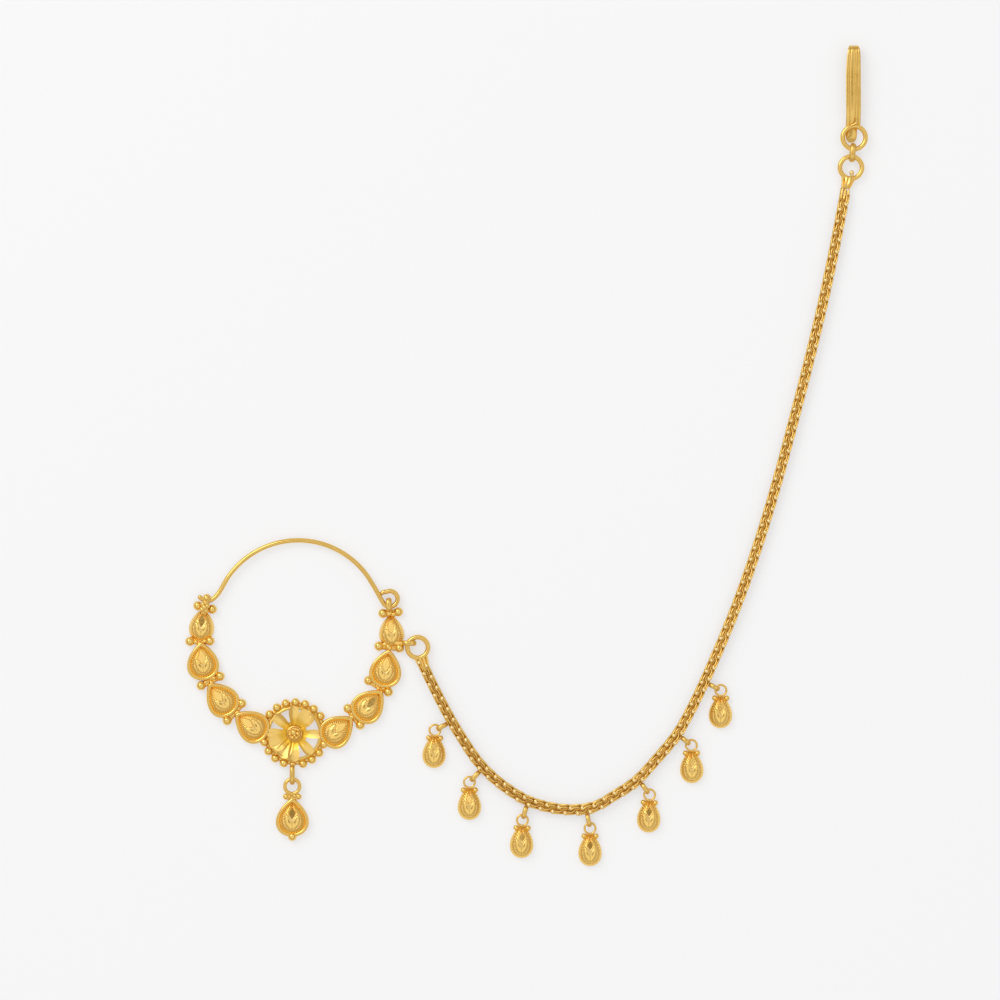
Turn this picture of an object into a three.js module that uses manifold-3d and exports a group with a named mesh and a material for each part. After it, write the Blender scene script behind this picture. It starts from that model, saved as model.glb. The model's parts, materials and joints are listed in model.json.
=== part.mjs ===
// A gold nose ring lying flat: a wire hoop that closes a crescent of pear settings and a pierced
// flower with a pendant, a woven side chain with seven small drops, and a ribbed hair hook.
// Sizes are in mm. The layout's X and Y start at the centre of the nose wire's circle, and Z at
// the surface that the piece lies on. The last lines centre the whole outline on the origin.
import * as THREE from 'three';
import { mergeVertices } from 'three/addons/utils/BufferGeometryUtils.js';
import Module from 'manifold-3d';

const wasm = await Module();
wasm.setup();

const FULL_TURN = 2 * Math.PI;
const MERGE = 1e-4;
const SMOOTHED = 0.02;
const radians = THREE.MathUtils.degToRad;
const point = (x, y, z) => new THREE.Vector3(x, y, z);

// Nose wire: a circle of wire, a tail that lies in the catch and a closed loop at the hinge
const WIRE = 0.85;
const WIRE_HEIGHT = 1.15;
const HOOP_RADIUS = 15.3;
const HOOP_FROM = 155;
const HOOP_TO = 29;
const HOOP_POINTS = 14;
const HOOP_STEPS = 42;
const WIRE_SIDES = 8;
const HINGE = { x: 16.49, y: 4.79, loop: 1.4, joins: 206, closes: 515, runsTo: 275, starts: 260 };
const LEAD_POINTS = 4;
const LOOP_POINTS = 14;
const LOOP_STEPS = 18;
const WIRE_TAIL = [
  { x: -17.95, y: 5.35 },
  { x: -17.25, y: 4.75 },
  { x: -16.5, y: 4.47 },
  { x: -15.75, y: 4.55 },
  { x: -15.0, y: 5.0 },
  { x: -14.4, y: 5.68 },
];

// Crescent: its pears and granules sit on a circle a little lower than the hoop's
const ARC = { x: -0.34, y: -2.38, radius: 17.37 };
const SETTING = { wide: 5.8, long: 7.0, point: 0.7, framed: true };
const LEAF = { wide: 4.25, long: 5.05, point: 0.5, framed: false };
const PEARS = [
  { at: 171.9, out: -0.18, tip: 84, form: LEAF },
  { at: 193.5, out: -0.05, tip: 95.7, form: SETTING },
  { at: 218.5, out: -0.02, tip: 129, form: SETTING },
  { at: 242.3, out: 0.2, tip: 143, form: SETTING },
  { at: 294.4, out: 0.7, tip: 41, form: SETTING },
  { at: 317.7, out: 0.4, tip: 48, form: SETTING },
  { at: 341.5, out: -0.38, tip: 80.5, form: SETTING },
  { at: 4.5, out: -0.22, tip: 94, form: LEAF },
];
const JOINTS = [
  { at: 161, inner: 15.95, outer: 18.8, back: -0.5, ahead: 1.3 },
  { at: 181.5, inner: 15.5, outer: 19.15, back: -0.5, ahead: 0.5 },
  { at: 206.3, inner: 15.25, outer: 19.1, back: -0.5, ahead: 0.5 },
  { at: 229.9, inner: 15.2, outer: 19.3, back: -0.5, ahead: 0.5 },
  { at: 306.5, inner: 15.6, outer: 19.35, back: -0.5, ahead: 0.5 },
  { at: 329.9, inner: 15.0, outer: 19.15, back: -0.5, ahead: 0.5 },
  { at: 354.8, inner: 14.9, outer: 18.65, back: -0.5, ahead: 0.5 },
  { at: 14.9, inner: 16.1, outer: 19.0, back: -1.3, ahead: 0.5 },
];
const GRANULE = 1.6;
const GRANULE_HEIGHT = 0.85;
const PLATE = { low: 0.2, high: 1.05 };

// Pears: how far the outline is drawn in at each height, from the flat back to the dome
const PEAR_SIDES = 16;
const FRAMED_PROFILE = [
  { inset: 0, z: 0 },
  { inset: 0, z: 1.05 },
  { inset: 0.2, z: 1.42 },
  { inset: 0.55, z: 1.42 },
  { inset: 0.74, z: 0.95 },
  { inset: 1.3, z: 1.62 },
  { inset: 2.1, z: 2.0 },
];
const DOMED_PROFILE = [
  { inset: 0, z: 0 },
  { inset: 0, z: 0.55 },
  { inset: 0.25, z: 1.05 },
  { inset: 0.8, z: 1.55 },
  { inset: 1.4, z: 1.85 },
];
const CROWN_RISE = 0.1;
const CROWN_BACK = 0.08;
const INSET_ALONG = 1.15;

// Flower: a beaded frame that eight grooved petals and a granulated boss are soldered into
const FLOWER = { x: -0.67, y: -19.46, frame: 4.77, band: 0.47, height: 0.85 };
const FRAME_BEAD = { across: 1.6, ring: 5.65, places: 20, first: -92, bare: [0, 5, 6, 14, 15] };
const PETALS = [
  { at: 90, wide: 1.75 },
  { at: 50, wide: 2.35 },
  { at: 0, wide: 1.75 },
  { at: 315, wide: 2.0 },
  { at: 267, wide: 1.9 },
  { at: 220, wide: 2.8 },
  { at: 182, wide: 1.9 },
  { at: 137, wide: 1.9 },
];
const PETAL_RUN = [
  { reach: 1.0, share: 0.6 },
  { reach: 2.0, share: 0.85 },
  { reach: 3.2, share: 1 },
  { reach: 4.2, share: 0.95 },
  { reach: 4.8, share: 0.75 },
];
const PETAL_EDGE = 1.3;
const PETAL_GROOVE = 1.0;
const PETAL_UNDER = 0.6;
const PETAL_UNDER_SHARE = 0.6;
const BOSS = { across: 2.6, height: 1.15, rise: 0.85 };
const BOSS_GRANULES = [
  { x: 0.05, y: 0.22, z: 1.75, across: 1.25 },
  { x: -0.35, y: -0.85, z: 1.5, across: 0.8 },
  { x: 0.75, y: -0.65, z: 1.5, across: 0.8 },
];

// Eyes are rings of flat strip that stand upright, so that each holds a wire that lies flat
const EYE_SIDES = 12;
const EYE_SQUARENESS = 2.8;
const HINGE_EYE = { x: 16.31, y: 3.675, turn: 90, length: 2.65, height: 2.1, thick: 0.42, wide: 1.04 };
const SIDE_EYE = { x: 19.96, y: -3.19, turn: 0, length: 2.65, height: 2.0, thick: 0.38, wide: 0.94 };
const STEM_EYE = { x: -1.06, y: -26.86, turn: 90, length: 3.6, height: 2.0, thick: 0.4, wide: 0.88 };
const STEM_FOOT = { x: -1.0, y: -24.8, long: 1.5, wide: 1.1, low: 0.4, high: 1.6 };
const EYE_FOOT = 0.1;
const SIDE_PAD = { x: 18.1, y: -3.2, long: 2.0, wide: 0.9, low: 0.4, high: 1.4 };
const CATCH = { turn: 79, wide: 1.3, root: -0.55, tip: 2.45, web: 0.5, low: 0.08, strip: 0.42, gap: 1.35 };

// Rings of round wire
const RING_SIDES = 6;
const RING_STEPS = 16;
const RING_WIRE = 0.82;
const NOSE_SIDE_RING = { x: 21.49, y: -3.96, radius: 1.85 };
const HAIR_SIDE_RING = { x: 99.38, y: 82.31, radius: 1.98 };

// Pendant, measured from the centre of its own ring, with the pear below it
const PENDANT = { x: -1.06, y: -28.93, ring: 1.32, wire: 0.7, height: 1.15 };
const PENDANT_PEAR = { wide: 5.95, long: 7.05, point: 0.7, framed: true, drop: 5.55 };
const PENDANT_COLLAR = { long: 2.3, wide: 1.5, drop: 1.7, low: 0.3, high: 1.5 };
const PENDANT_GRANULE = { across: 1.25, side: 1.08, drop: 1.85 };
const PENDANT_KNOB = { across: 1.45, drop: 9.05 };

// Side chain: the middle of a woven chain, from the nose ring's end to the hair hook's end
const CHAIN = 1.94;
const CHAIN_HEIGHT = 0.98;
const CHAIN_SIDES = 8;
const CHAIN_STEPS = 46;
const CHAIN_ROUTE = [
  [22.72, -7.61], [24.14, -10.6], [26.62, -15.43], [29.36, -20.11], [32.78, -24.97],
  [36.47, -28.48], [40.97, -31.32], [44.57, -32.53], [48.17, -33.07], [51.77, -32.89],
  [54.38, -32.08], [56.63, -30.73], [60.86, -27.85], [64.73, -23.71], [68.15, -19.48],
  [70.85, -14.71], [75.35, -4.93], [79.4, 5.09], [82.96, 15.35], [86.08, 25.7],
  [88.9, 36.14], [91.62, 46.64], [94.16, 57.15], [96.41, 67.7], [98.44, 78.26], [98.6, 79.16],
];
const CAP = { near: 1.05, far: 0.8, flat: 0.85, sides: 10, clear: 0.28 };

// Small drops: where each stands along the chain, how its eye leans and how it hangs
const DROPS = [
  { along: 10.8, eyeTurn: -152, reach: 3.44, hang: -92 },
  { along: 20.86, eyeTurn: -133, reach: 3.65, hang: -90 },
  { along: 30.95, eyeTurn: -106, reach: 3.69, hang: -92 },
  { along: 41.59, eyeTurn: -78.5, reach: 3.67, hang: -90 },
  { along: 52.48, eyeTurn: -54.5, reach: 3.52, hang: -92 },
  { along: 63.2, eyeTurn: -39, reach: 3.3, hang: -89 },
  { along: 73.8, eyeTurn: -28, reach: 3.36, hang: -91 },
];
const DROP_RING = { radius: 1.02, wire: 0.4, height: 0.95, steps: 12, sides: 5 };
const DROP_EYE = { height: 1.9, thick: 0.35, wide: 0.8, fromChain: 1.14, shortOfRing: 0.25 };
const DROP_COLLAR = { long: 1.05, wide: 1.9, drop: 1.6, low: 0.25, high: 1.25 };
const DROP_GRANULE = { across: 1.1, side: 1.1, drop: 1.55, height: 0.85 };
const DROP_BODY = { wide: 4.3, long: 5.1, point: 0.7, framed: false, drop: 4.35 };

// Hair hook: a ribbed strip bent in a U, with a ring soldered on the end of its front leg
const HOOK_RING = { x: 99.99, y: 87.68, radius: 2.04, wire: 0.86, height: 1.45 };
const HOOK_STRIP = 0.6;
const HOOK_BACK = 0.33;
const HOOK_FRONT = 2.3;
const HOOK_TOP = 104.27;
const HOOK_RUN = [
  { y: 86.85, z: HOOK_BACK, x: 99.47, wide: 0.9 },
  { y: 87.15, z: HOOK_BACK, x: 99.47, wide: 1.6 },
  { y: 87.9, z: HOOK_BACK, x: 99.47, wide: 2.0 },
  { y: 96, z: HOOK_BACK, x: 99.7, wide: 2.1 },
  { y: 101.5, z: HOOK_BACK, x: 99.85, wide: 1.95 },
];
const HOOK_FRONT_RUN = [
  { y: 101.5, z: HOOK_FRONT, x: 99.92, wide: 2.65 },
  { y: 98.5, z: HOOK_FRONT, x: 99.92, wide: 2.7 },
  { y: 94, z: HOOK_FRONT, x: 99.92, wide: 2.7 },
  { y: 92, z: 1.95, x: 99.92, wide: 2.7 },
  { y: 90, z: 1.3, x: 99.92, wide: 2.6 },
];
const HOOK_BEND_WIDE = 1.75;
const HOOK_SHOULDER_WIDE = 2.5;
const HOOK_BEND_STEPS = 6;
const HOOK_BEND_X = 99.89;
const HOOK_RIBS = [
  { across: -0.5, out: 0.1 },
  { across: -0.4, out: 0.5 },
  { across: -0.26, out: 0.22 },
  { across: 0, out: 0.5 },
  { across: 0.26, out: 0.22 },
  { across: 0.4, out: 0.5 },
  { across: 0.5, out: 0.1 },
  { across: 0.42, out: -0.5 },
  { across: -0.42, out: -0.5 },
];

// Link between the hook's ring and the chain's ring, wide enough for both wires
const LINK = { from: 0.98, to: 4.46, height: 2.36, thick: 0.42, wide: 1.02, middle: 1.3 };

const GOLD = { color: 0xe2ad44, metalness: 1, roughness: 0.28, flatShading: true };

// A closed geometry as a solid that can be joined
function solidOf(geometry) {
  const bare = geometry.index ? geometry.toNonIndexed() : geometry.clone();
  bare.deleteAttribute('normal');
  bare.deleteAttribute('uv');
  const merged = mergeVertices(bare, MERGE);
  const vertProperties = merged.attributes.position.array;
  const triVerts = new Uint32Array(merged.index.array);
  return new wasm.Manifold(new wasm.Mesh({ numProp: 3, vertProperties, triVerts }));
}

// Several closed geometries soldered into one
function solder(geometries) {
  const joined = wasm.Manifold.union(geometries.map(solidOf)).simplify(SMOOTHED).getMesh();
  const stride = joined.numProp;
  const places = new Float32Array(joined.numVert * 3);
  for (let i = 0; i < joined.numVert; i += 1) {
    places.set(joined.vertProperties.subarray(i * stride, i * stride + 3), i * 3);
  }
  const geometry = new THREE.BufferGeometry();
  geometry.setAttribute('position', new THREE.BufferAttribute(places, 3));
  geometry.setIndex(new THREE.BufferAttribute(joined.triVerts, 1));
  return geometry;
}

// A closed skin over sections that each have the same number of points, with fans at its ends
function loft(sections, lastPoint) {
  const count = sections[0].length;
  const middle = (section) => section
    .reduce((sum, place) => sum.add(place), point(0, 0, 0))
    .divideScalar(count);
  const top = sections.length - 1;
  const places = sections.flat();
  const firstHub = places.length;
  const lastHub = firstHub + 1;
  places.push(middle(sections[0]), lastPoint ?? middle(sections[top]));
  const corners = [];
  for (let i = 0; i < count; i += 1) {
    const next = (i + 1) % count;
    corners.push(firstHub, next, i);
    corners.push(lastHub, top * count + i, top * count + next);
    for (let row = 0; row < top; row += 1) {
      const a = row * count + i;
      const b = row * count + next;
      corners.push(a, b, b + count, a, b + count, a + count);
    }
  }
  const geometry = new THREE.BufferGeometry().setFromPoints(places);
  geometry.setIndex(corners);
  return enclosed(geometry) < 0 ? turnedOut(geometry) : geometry;
}

// Six times the volume that an indexed geometry encloses, negative when it is inside out
function enclosed(geometry) {
  const place = geometry.attributes.position;
  const corner = [point(0, 0, 0), point(0, 0, 0), point(0, 0, 0)];
  let sum = 0;
  for (let i = 0; i < geometry.index.count; i += 3) {
    corner.forEach((vector, k) => vector.fromBufferAttribute(place, geometry.index.getX(i + k)));
    sum += corner[0].dot(corner[1].cross(corner[2]));
  }
  return sum;
}

function turnedOut(geometry) {
  geometry.index.array.reverse();
  return geometry;
}

function block({ long, wide, low, high }) {
  return new THREE.BoxGeometry(long, wide, high - low).translate(0, 0, (low + high) / 2);
}

function bead(x, y, z, across) {
  return new THREE.SphereGeometry(across / 2, 10, 5).rotateX(Math.PI / 2).translate(x, y, z);
}

function wireRing(radius, wire, height, steps = RING_STEPS, sides = RING_SIDES) {
  return new THREE.TorusGeometry(radius, wire / 2, sides, steps).translate(0, 0, height);
}

// Round wire or chain along a curve
function roundAlong(curve, across, sides, steps) {
  const section = new THREE.Shape();
  for (let i = 0; i < sides; i += 1) {
    const turn = (FULL_TURN * (i + 0.5)) / sides;
    const place = [(across / 2) * Math.cos(turn), (across / 2) * Math.sin(turn)];
    if (i === 0) section.moveTo(...place);
    else section.lineTo(...place);
  }
  return new THREE.ExtrudeGeometry(section, { steps, extrudePath: curve, bevelEnabled: false });
}

function onCircle(circle, radius, degrees) {
  const turn = radians(degrees);
  return { x: circle.x + radius * Math.cos(turn), y: circle.y + radius * Math.sin(turn) };
}

// The points of an oval with full shoulders
function oval(length, height) {
  const swell = (value) => Math.sign(value) * Math.abs(value) ** (2 / EYE_SQUARENESS);
  const points = [];
  for (let i = 0; i < EYE_SIDES; i += 1) {
    const turn = (FULL_TURN * i) / EYE_SIDES;
    const x = (length / 2) * swell(Math.cos(turn));
    const y = (height / 2) * swell(Math.sin(turn));
    points.push(new THREE.Vector2(x, y));
  }
  return points;
}

// An upright ring of flat strip round its own centre, long along X, its hole facing Y
function stripEye({ length, height, thick, wide }) {
  const outline = new THREE.Shape(oval(length, height));
  outline.holes.push(new THREE.Path(oval(length - 2 * thick, height - 2 * thick)));
  return new THREE.ExtrudeGeometry(outline, { depth: wide, bevelEnabled: false })
    .translate(0, 0, -wide / 2)
    .rotateX(Math.PI / 2);
}

function placedEye(eye) {
  return stripEye(eye)
    .rotateZ(radians(eye.turn))
    .translate(eye.x, eye.y, EYE_FOOT + eye.height / 2);
}

// One outline of a pear with its tip towards +X, drawn in by an inset and lifted to z
function pearOutline(form, inset, z) {
  const widest = Math.acos(-form.point / (form.point + 2));
  const fullness = Math.sin(widest) * Math.sin(widest / 2) ** form.point;
  const halfLong = form.long / 2 - inset * INSET_ALONG;
  const halfWide = form.wide / 2 - inset;
  const outline = [];
  for (let i = 0; i < PEAR_SIDES; i += 1) {
    const turn = (FULL_TURN * i) / PEAR_SIDES;
    const side = (Math.sin(turn) * Math.sin(turn / 2) ** form.point) / fullness;
    outline.push(point(halfLong * Math.cos(turn), halfWide * side, z));
  }
  return outline;
}

function pear(form) {
  const profile = form.framed ? FRAMED_PROFILE : DOMED_PROFILE;
  const crown = profile[profile.length - 1].z + CROWN_RISE;
  const sections = profile.map(({ inset, z }) => pearOutline(form, inset, z));
  return loft(sections, point(-form.long * CROWN_BACK, 0, crown));
}

// A petal along +X: raised edges, a groove down its middle and a narrower underside
function petal(wide) {
  const sections = PETAL_RUN.map(({ reach, share }) => {
    const half = (wide / 2) * share;
    return [
      point(reach, -half, PETAL_EDGE),
      point(reach, 0, PETAL_GROOVE),
      point(reach, half, PETAL_EDGE),
      point(reach, half * PETAL_UNDER_SHARE, PETAL_UNDER),
      point(reach, -half * PETAL_UNDER_SHARE, PETAL_UNDER),
    ];
  });
  return loft(sections);
}

function flower() {
  const pieces = [
    new THREE.TorusGeometry(FLOWER.frame, FLOWER.band, 6, 28).translate(0, 0, FLOWER.height),
    new THREE.SphereGeometry(BOSS.across / 2, 12, 6)
      .rotateX(Math.PI / 2)
      .scale(1, 1, (2 * BOSS.rise) / BOSS.across)
      .translate(0, 0, BOSS.height),
    ...PETALS.map(({ at, wide }) => petal(wide).rotateZ(radians(at))),
    ...BOSS_GRANULES.map(({ x, y, z, across }) => bead(x, y, z, across)),
  ];
  const centre = { x: 0, y: 0 };
  for (let i = 0; i < FRAME_BEAD.places; i += 1) {
    if (!FRAME_BEAD.bare.includes(i)) {
      const turn = FRAME_BEAD.first + (i * 360) / FRAME_BEAD.places;
      const place = onCircle(centre, FRAME_BEAD.ring, turn);
      pieces.push(bead(place.x, place.y, FLOWER.height, FRAME_BEAD.across));
    }
  }
  return pieces.map((piece) => piece.translate(FLOWER.x, FLOWER.y, 0));
}

// A pair of granules on the plate that joins two pears
function joint({ at, inner, outer, back, ahead }) {
  const plate = block({ ...PLATE, long: outer - inner, wide: ahead - back })
    .translate((inner + outer) / 2, (ahead + back) / 2, 0)
    .rotateZ(radians(at))
    .translate(ARC.x, ARC.y, 0);
  const granules = [inner, outer].map((radius) => {
    const place = onCircle(ARC, radius, at);
    return bead(place.x, place.y, GRANULE_HEIGHT, GRANULE);
  });
  return [plate, ...granules];
}

// The catch: a wall between two round-ended strips, open at its tip, that the wire's tail enters
function catchPieces() {
  const root = onCircle(ARC, ARC.radius, JOINTS[0].at);
  const half = CATCH.wide / 2;
  const straight = CATCH.tip - half;
  const outline = new THREE.Shape();
  outline.moveTo(CATCH.root, -half);
  outline.lineTo(straight, -half);
  outline.absarc(straight, 0, half, -Math.PI / 2, Math.PI / 2, false);
  outline.lineTo(CATCH.root, half);
  const strip = (low) => new THREE.ExtrudeGeometry(outline, {
    depth: CATCH.strip,
    bevelEnabled: false,
    curveSegments: 8,
  }).translate(0, 0, low);
  const upper = CATCH.low + CATCH.strip + CATCH.gap;
  const wall = block({
    long: CATCH.web - CATCH.root,
    wide: CATCH.wide,
    low: CATCH.low,
    high: upper + CATCH.strip,
  }).translate((CATCH.web + CATCH.root) / 2, 0, 0);
  return [strip(CATCH.low), strip(upper), wall].map((piece) => piece
    .rotateZ(radians(CATCH.turn))
    .translate(root.x, root.y, 0));
}

function crescent() {
  const pears = PEARS.map(({ at, out, tip, form }) => {
    const place = onCircle(ARC, ARC.radius + out, at);
    return pear(form).rotateZ(radians(tip)).translate(place.x, place.y, 0);
  });
  return solder([
    ...pears,
    ...JOINTS.flatMap(joint),
    ...flower(),
    ...catchPieces(),
    ...[HINGE_EYE, SIDE_EYE, STEM_EYE].map(placedEye),
    ...[SIDE_PAD, STEM_FOOT].map((pad) => block(pad).translate(pad.x, pad.y, 0)),
  ]);
}

function noseWire() {
  const centre = { x: 0, y: 0 };
  const flat = (place) => point(place.x, place.y, WIRE_HEIGHT);
  const arc = [];
  for (let i = 0; i < HOOP_POINTS; i += 1) {
    const turn = THREE.MathUtils.lerp(HOOP_FROM, HOOP_TO, i / (HOOP_POINTS - 1));
    arc.push(flat(onCircle(centre, HOOP_RADIUS, turn)));
  }
  const loopRun = (from, to, count) => {
    const places = [];
    for (let i = 0; i <= count; i += 1) {
      const turn = THREE.MathUtils.lerp(from, to, i / count);
      places.push(flat(onCircle(HINGE, HINGE.loop, turn)));
    }
    return new THREE.CatmullRomCurve3(places);
  };
  const start = loopRun(HINGE.joins, HINGE.runsTo, LEAD_POINTS).points;
  const run = new THREE.CatmullRomCurve3([...WIRE_TAIL.map(flat), ...arc, ...start]);
  const loop = loopRun(HINGE.starts, HINGE.closes, LOOP_POINTS);
  return solder([
    roundAlong(run, WIRE, WIRE_SIDES, HOOP_STEPS),
    roundAlong(loop, WIRE, WIRE_SIDES, LOOP_STEPS),
  ]);
}

function pendant() {
  const pearHung = pear(PENDANT_PEAR).rotateZ(Math.PI / 2).translate(0, -PENDANT_PEAR.drop, 0);
  const granules = [-1, 1].map((side) => bead(
    side * PENDANT_GRANULE.side,
    -PENDANT_GRANULE.drop,
    GRANULE_HEIGHT,
    PENDANT_GRANULE.across,
  ));
  return solder([
    wireRing(PENDANT.ring, PENDANT.wire, PENDANT.height),
    block(PENDANT_COLLAR).translate(0, -PENDANT_COLLAR.drop, 0),
    pearHung,
    bead(0, -PENDANT_KNOB.drop, GRANULE_HEIGHT, PENDANT_KNOB.across),
    ...granules,
  ]);
}

const chainRoute = new THREE.CatmullRomCurve3(
  CHAIN_ROUTE.map(([x, y]) => point(x, y, CHAIN_HEIGHT)),
  false,
  'centripetal',
);

// A chain's end ring with the cone that its wires are soldered into
function chainRing({ x, y, radius }, chainEnd) {
  const toChain = Math.atan2(chainEnd.y - y, chainEnd.x - x);
  const from = radius;
  const to = Math.hypot(chainEnd.y - y, chainEnd.x - x) - CAP.clear;
  const cone = new THREE.CylinderGeometry(CAP.far, CAP.near, to - from, CAP.sides)
    .rotateZ(-Math.PI / 2)
    .scale(1, 1, CAP.flat)
    .translate((from + to) / 2, 0, CHAIN_HEIGHT)
    .rotateZ(toChain);
  return solder([wireRing(radius, RING_WIRE, WIRE_HEIGHT), cone]).translate(x, y, 0);
}

function smallDrop() {
  const body = pear(DROP_BODY).rotateZ(Math.PI).translate(DROP_BODY.drop, 0, 0);
  const { drop, side, height, across } = DROP_GRANULE;
  return solder([
    wireRing(DROP_RING.radius, DROP_RING.wire, DROP_RING.height, DROP_RING.steps, DROP_RING.sides),
    block(DROP_COLLAR).translate(DROP_COLLAR.drop, 0, 0),
    body,
    bead(drop, -side, height, across),
    bead(drop, side, height, across),
  ]);
}

// The strip of the hair hook, as sections that turn with it
function hookStrip() {
  const bend = (HOOK_FRONT - HOOK_BACK) / 2;
  const bendY = HOOK_TOP - HOOK_STRIP / 2 - bend;
  const run = [...HOOK_RUN];
  for (let i = 0; i <= HOOK_BEND_STEPS; i += 1) {
    const turn = THREE.MathUtils.lerp(-Math.PI / 2, Math.PI / 2, i / HOOK_BEND_STEPS);
    const y = bendY + bend * Math.cos(turn);
    const z = HOOK_BACK + bend + bend * Math.sin(turn);
    const widening = Math.max(Math.sin(turn), 0) ** 2;
    const wide = THREE.MathUtils.lerp(HOOK_BEND_WIDE, HOOK_SHOULDER_WIDE, widening);
    run.push({ y, z, x: HOOK_BEND_X, wide });
  }
  run.push(...HOOK_FRONT_RUN);
  const sections = run.map(({ x, y, z, wide }, i) => {
    const before = run[Math.max(i - 1, 0)];
    const after = run[Math.min(i + 1, run.length - 1)];
    const along = point(0, after.y - before.y, after.z - before.z).normalize();
    return HOOK_RIBS.map(({ across, out }) => point(
      x + across * wide,
      y + along.z * out * HOOK_STRIP,
      z - along.y * out * HOOK_STRIP,
    ));
  });
  return loft(sections);
}

function hairHook() {
  const { x, y, radius, wire, height } = HOOK_RING;
  return solder([hookStrip(), wireRing(radius, wire, height).translate(x, y, 0)]);
}

function linkBetween(upper, lower) {
  const turn = Math.atan2(lower.y - upper.y, lower.x - upper.x);
  return stripEye({ ...LINK, length: LINK.to - LINK.from })
    .translate((LINK.from + LINK.to) / 2, 0, LINK.middle)
    .rotateZ(turn)
    .translate(upper.x, upper.y, 0);
}

const layout = new THREE.Group();

function add(name, geometry) {
  const mesh = new THREE.Mesh(geometry, new THREE.MeshStandardMaterial(GOLD));
  mesh.name = name;
  layout.add(mesh);
  return mesh;
}

add('crescent', crescent());
add('nose_wire', noseWire());
add('pendant_drop', pendant()).position.set(PENDANT.x, PENDANT.y, 0);
add('woven_chain', roundAlong(chainRoute, CHAIN, CHAIN_SIDES, CHAIN_STEPS));
add('nose_side_ring', chainRing(NOSE_SIDE_RING, chainRoute.getPoint(0)));
add('hair_side_ring', chainRing(HAIR_SIDE_RING, chainRoute.getPoint(1)));
add('connecting_link', linkBetween(HOOK_RING, HAIR_SIDE_RING));
add('hair_hook', hairHook());

const chainLength = chainRoute.getLength();
const dropForm = smallDrop();
DROPS.forEach(({ along, eyeTurn, reach, hang }, i) => {
  const station = chainRoute.getPointAt(along / chainLength);
  const ringAt = onCircle(station, reach, eyeTurn);
  const eyeTo = reach - DROP_EYE.shortOfRing;
  const eyeAt = onCircle(station, (DROP_EYE.fromChain + eyeTo) / 2, eyeTurn);
  const eye = stripEye({ ...DROP_EYE, length: eyeTo - DROP_EYE.fromChain });
  const eyeMesh = add(`drop_eye_${i + 1}`, eye);
  eyeMesh.position.set(eyeAt.x, eyeAt.y, EYE_FOOT + DROP_EYE.height / 2);
  eyeMesh.rotation.z = radians(eyeTurn);
  const drop = add(`small_drop_${i + 1}`, dropForm);
  drop.position.set(ringAt.x, ringAt.y, 0);
  drop.rotation.z = radians(hang);
});

// The origin is under the middle of the outline
const middle = new THREE.Box3().setFromObject(layout, true).getCenter(point(0, 0, 0));
layout.position.set(-middle.x, -middle.y, 0);

const noseRing = new THREE.Group();
noseRing.add(layout);

export default noseRing;
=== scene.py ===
# %% [markdown]
# A gold nose ring with a hair chain, laid flat on a pale table. A wire hoop closes a crescent of
# soldered settings, a pendant hangs from its pierced flower, and a woven chain hung with small
# drops runs up to a ribbed hair hook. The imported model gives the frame: its sizes, its joint and
# what each piece rides on. This script dresses that frame, one maker's step at a time.

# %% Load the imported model
import json
import math

import bpy
import numpy as np
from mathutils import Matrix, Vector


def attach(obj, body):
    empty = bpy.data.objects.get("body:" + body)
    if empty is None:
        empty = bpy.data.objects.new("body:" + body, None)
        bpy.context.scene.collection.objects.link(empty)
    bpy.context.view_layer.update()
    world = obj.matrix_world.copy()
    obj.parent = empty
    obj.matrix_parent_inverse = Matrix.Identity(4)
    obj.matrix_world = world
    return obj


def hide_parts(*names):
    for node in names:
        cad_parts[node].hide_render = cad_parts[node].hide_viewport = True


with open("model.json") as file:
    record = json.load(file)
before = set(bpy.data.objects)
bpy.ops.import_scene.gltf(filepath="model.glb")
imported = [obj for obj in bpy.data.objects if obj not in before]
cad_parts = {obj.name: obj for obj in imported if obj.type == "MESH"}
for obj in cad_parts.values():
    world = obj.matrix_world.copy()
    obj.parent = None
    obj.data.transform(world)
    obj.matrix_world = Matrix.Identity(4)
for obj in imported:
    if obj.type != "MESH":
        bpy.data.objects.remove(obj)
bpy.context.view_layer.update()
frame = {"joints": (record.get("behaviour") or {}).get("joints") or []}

MM = 0.001

# %% [markdown]
# All of the jewel is laid out in millimetres from the centre of the nose wire's circle. The hinge
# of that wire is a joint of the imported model, so its place there ties the layout to the frame.

# %% Tie the layout to the frame
HINGE = {"x": 16.49, "y": 4.79, "z": 1.15, "loop": 1.4}
hinge_at = np.array(frame["joints"][0]["pos_m"]) / MM
SHIFT = hinge_at - np.array([HINGE["x"], HINGE["y"], HINGE["z"]])
print("layout starts at", SHIFT.round(3), "mm")

# %% [markdown]
# The photo looks straight down. A long lens from 0.9 m keeps the small piece free of perspective,
# and one pixel of the photo is 0.18 mm on the table, so the frame is 180 mm wide.

# %% Camera
PIXEL = 0.18
FRAME_PIXELS = 1000
CAMERA_HEIGHT = 900
SENSOR = 36
CLIP_START = 0.01
PHOTO_CENTRE = (36.29, 22.55)


def placed(x, y, z):
    """A layout point as the frame's metres."""
    return tuple((np.array([x, y, z]) + SHIFT) * MM)


def add_object(name, data):
    """A new object in the scene, at the origin."""
    thing = bpy.data.objects.new(name, data)
    bpy.context.scene.collection.objects.link(thing)
    return thing


def make_camera():
    data = bpy.data.cameras.new("camera")
    data.sensor_width = SENSOR
    data.lens = SENSOR * CAMERA_HEIGHT / (PIXEL * FRAME_PIXELS)
    data.clip_start = CLIP_START
    camera = add_object("camera", data)
    camera.location = placed(*PHOTO_CENTRE, CAMERA_HEIGHT)
    bpy.context.scene.camera = camera
    print("lens", round(data.lens, 1), "mm")


make_camera()

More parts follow.
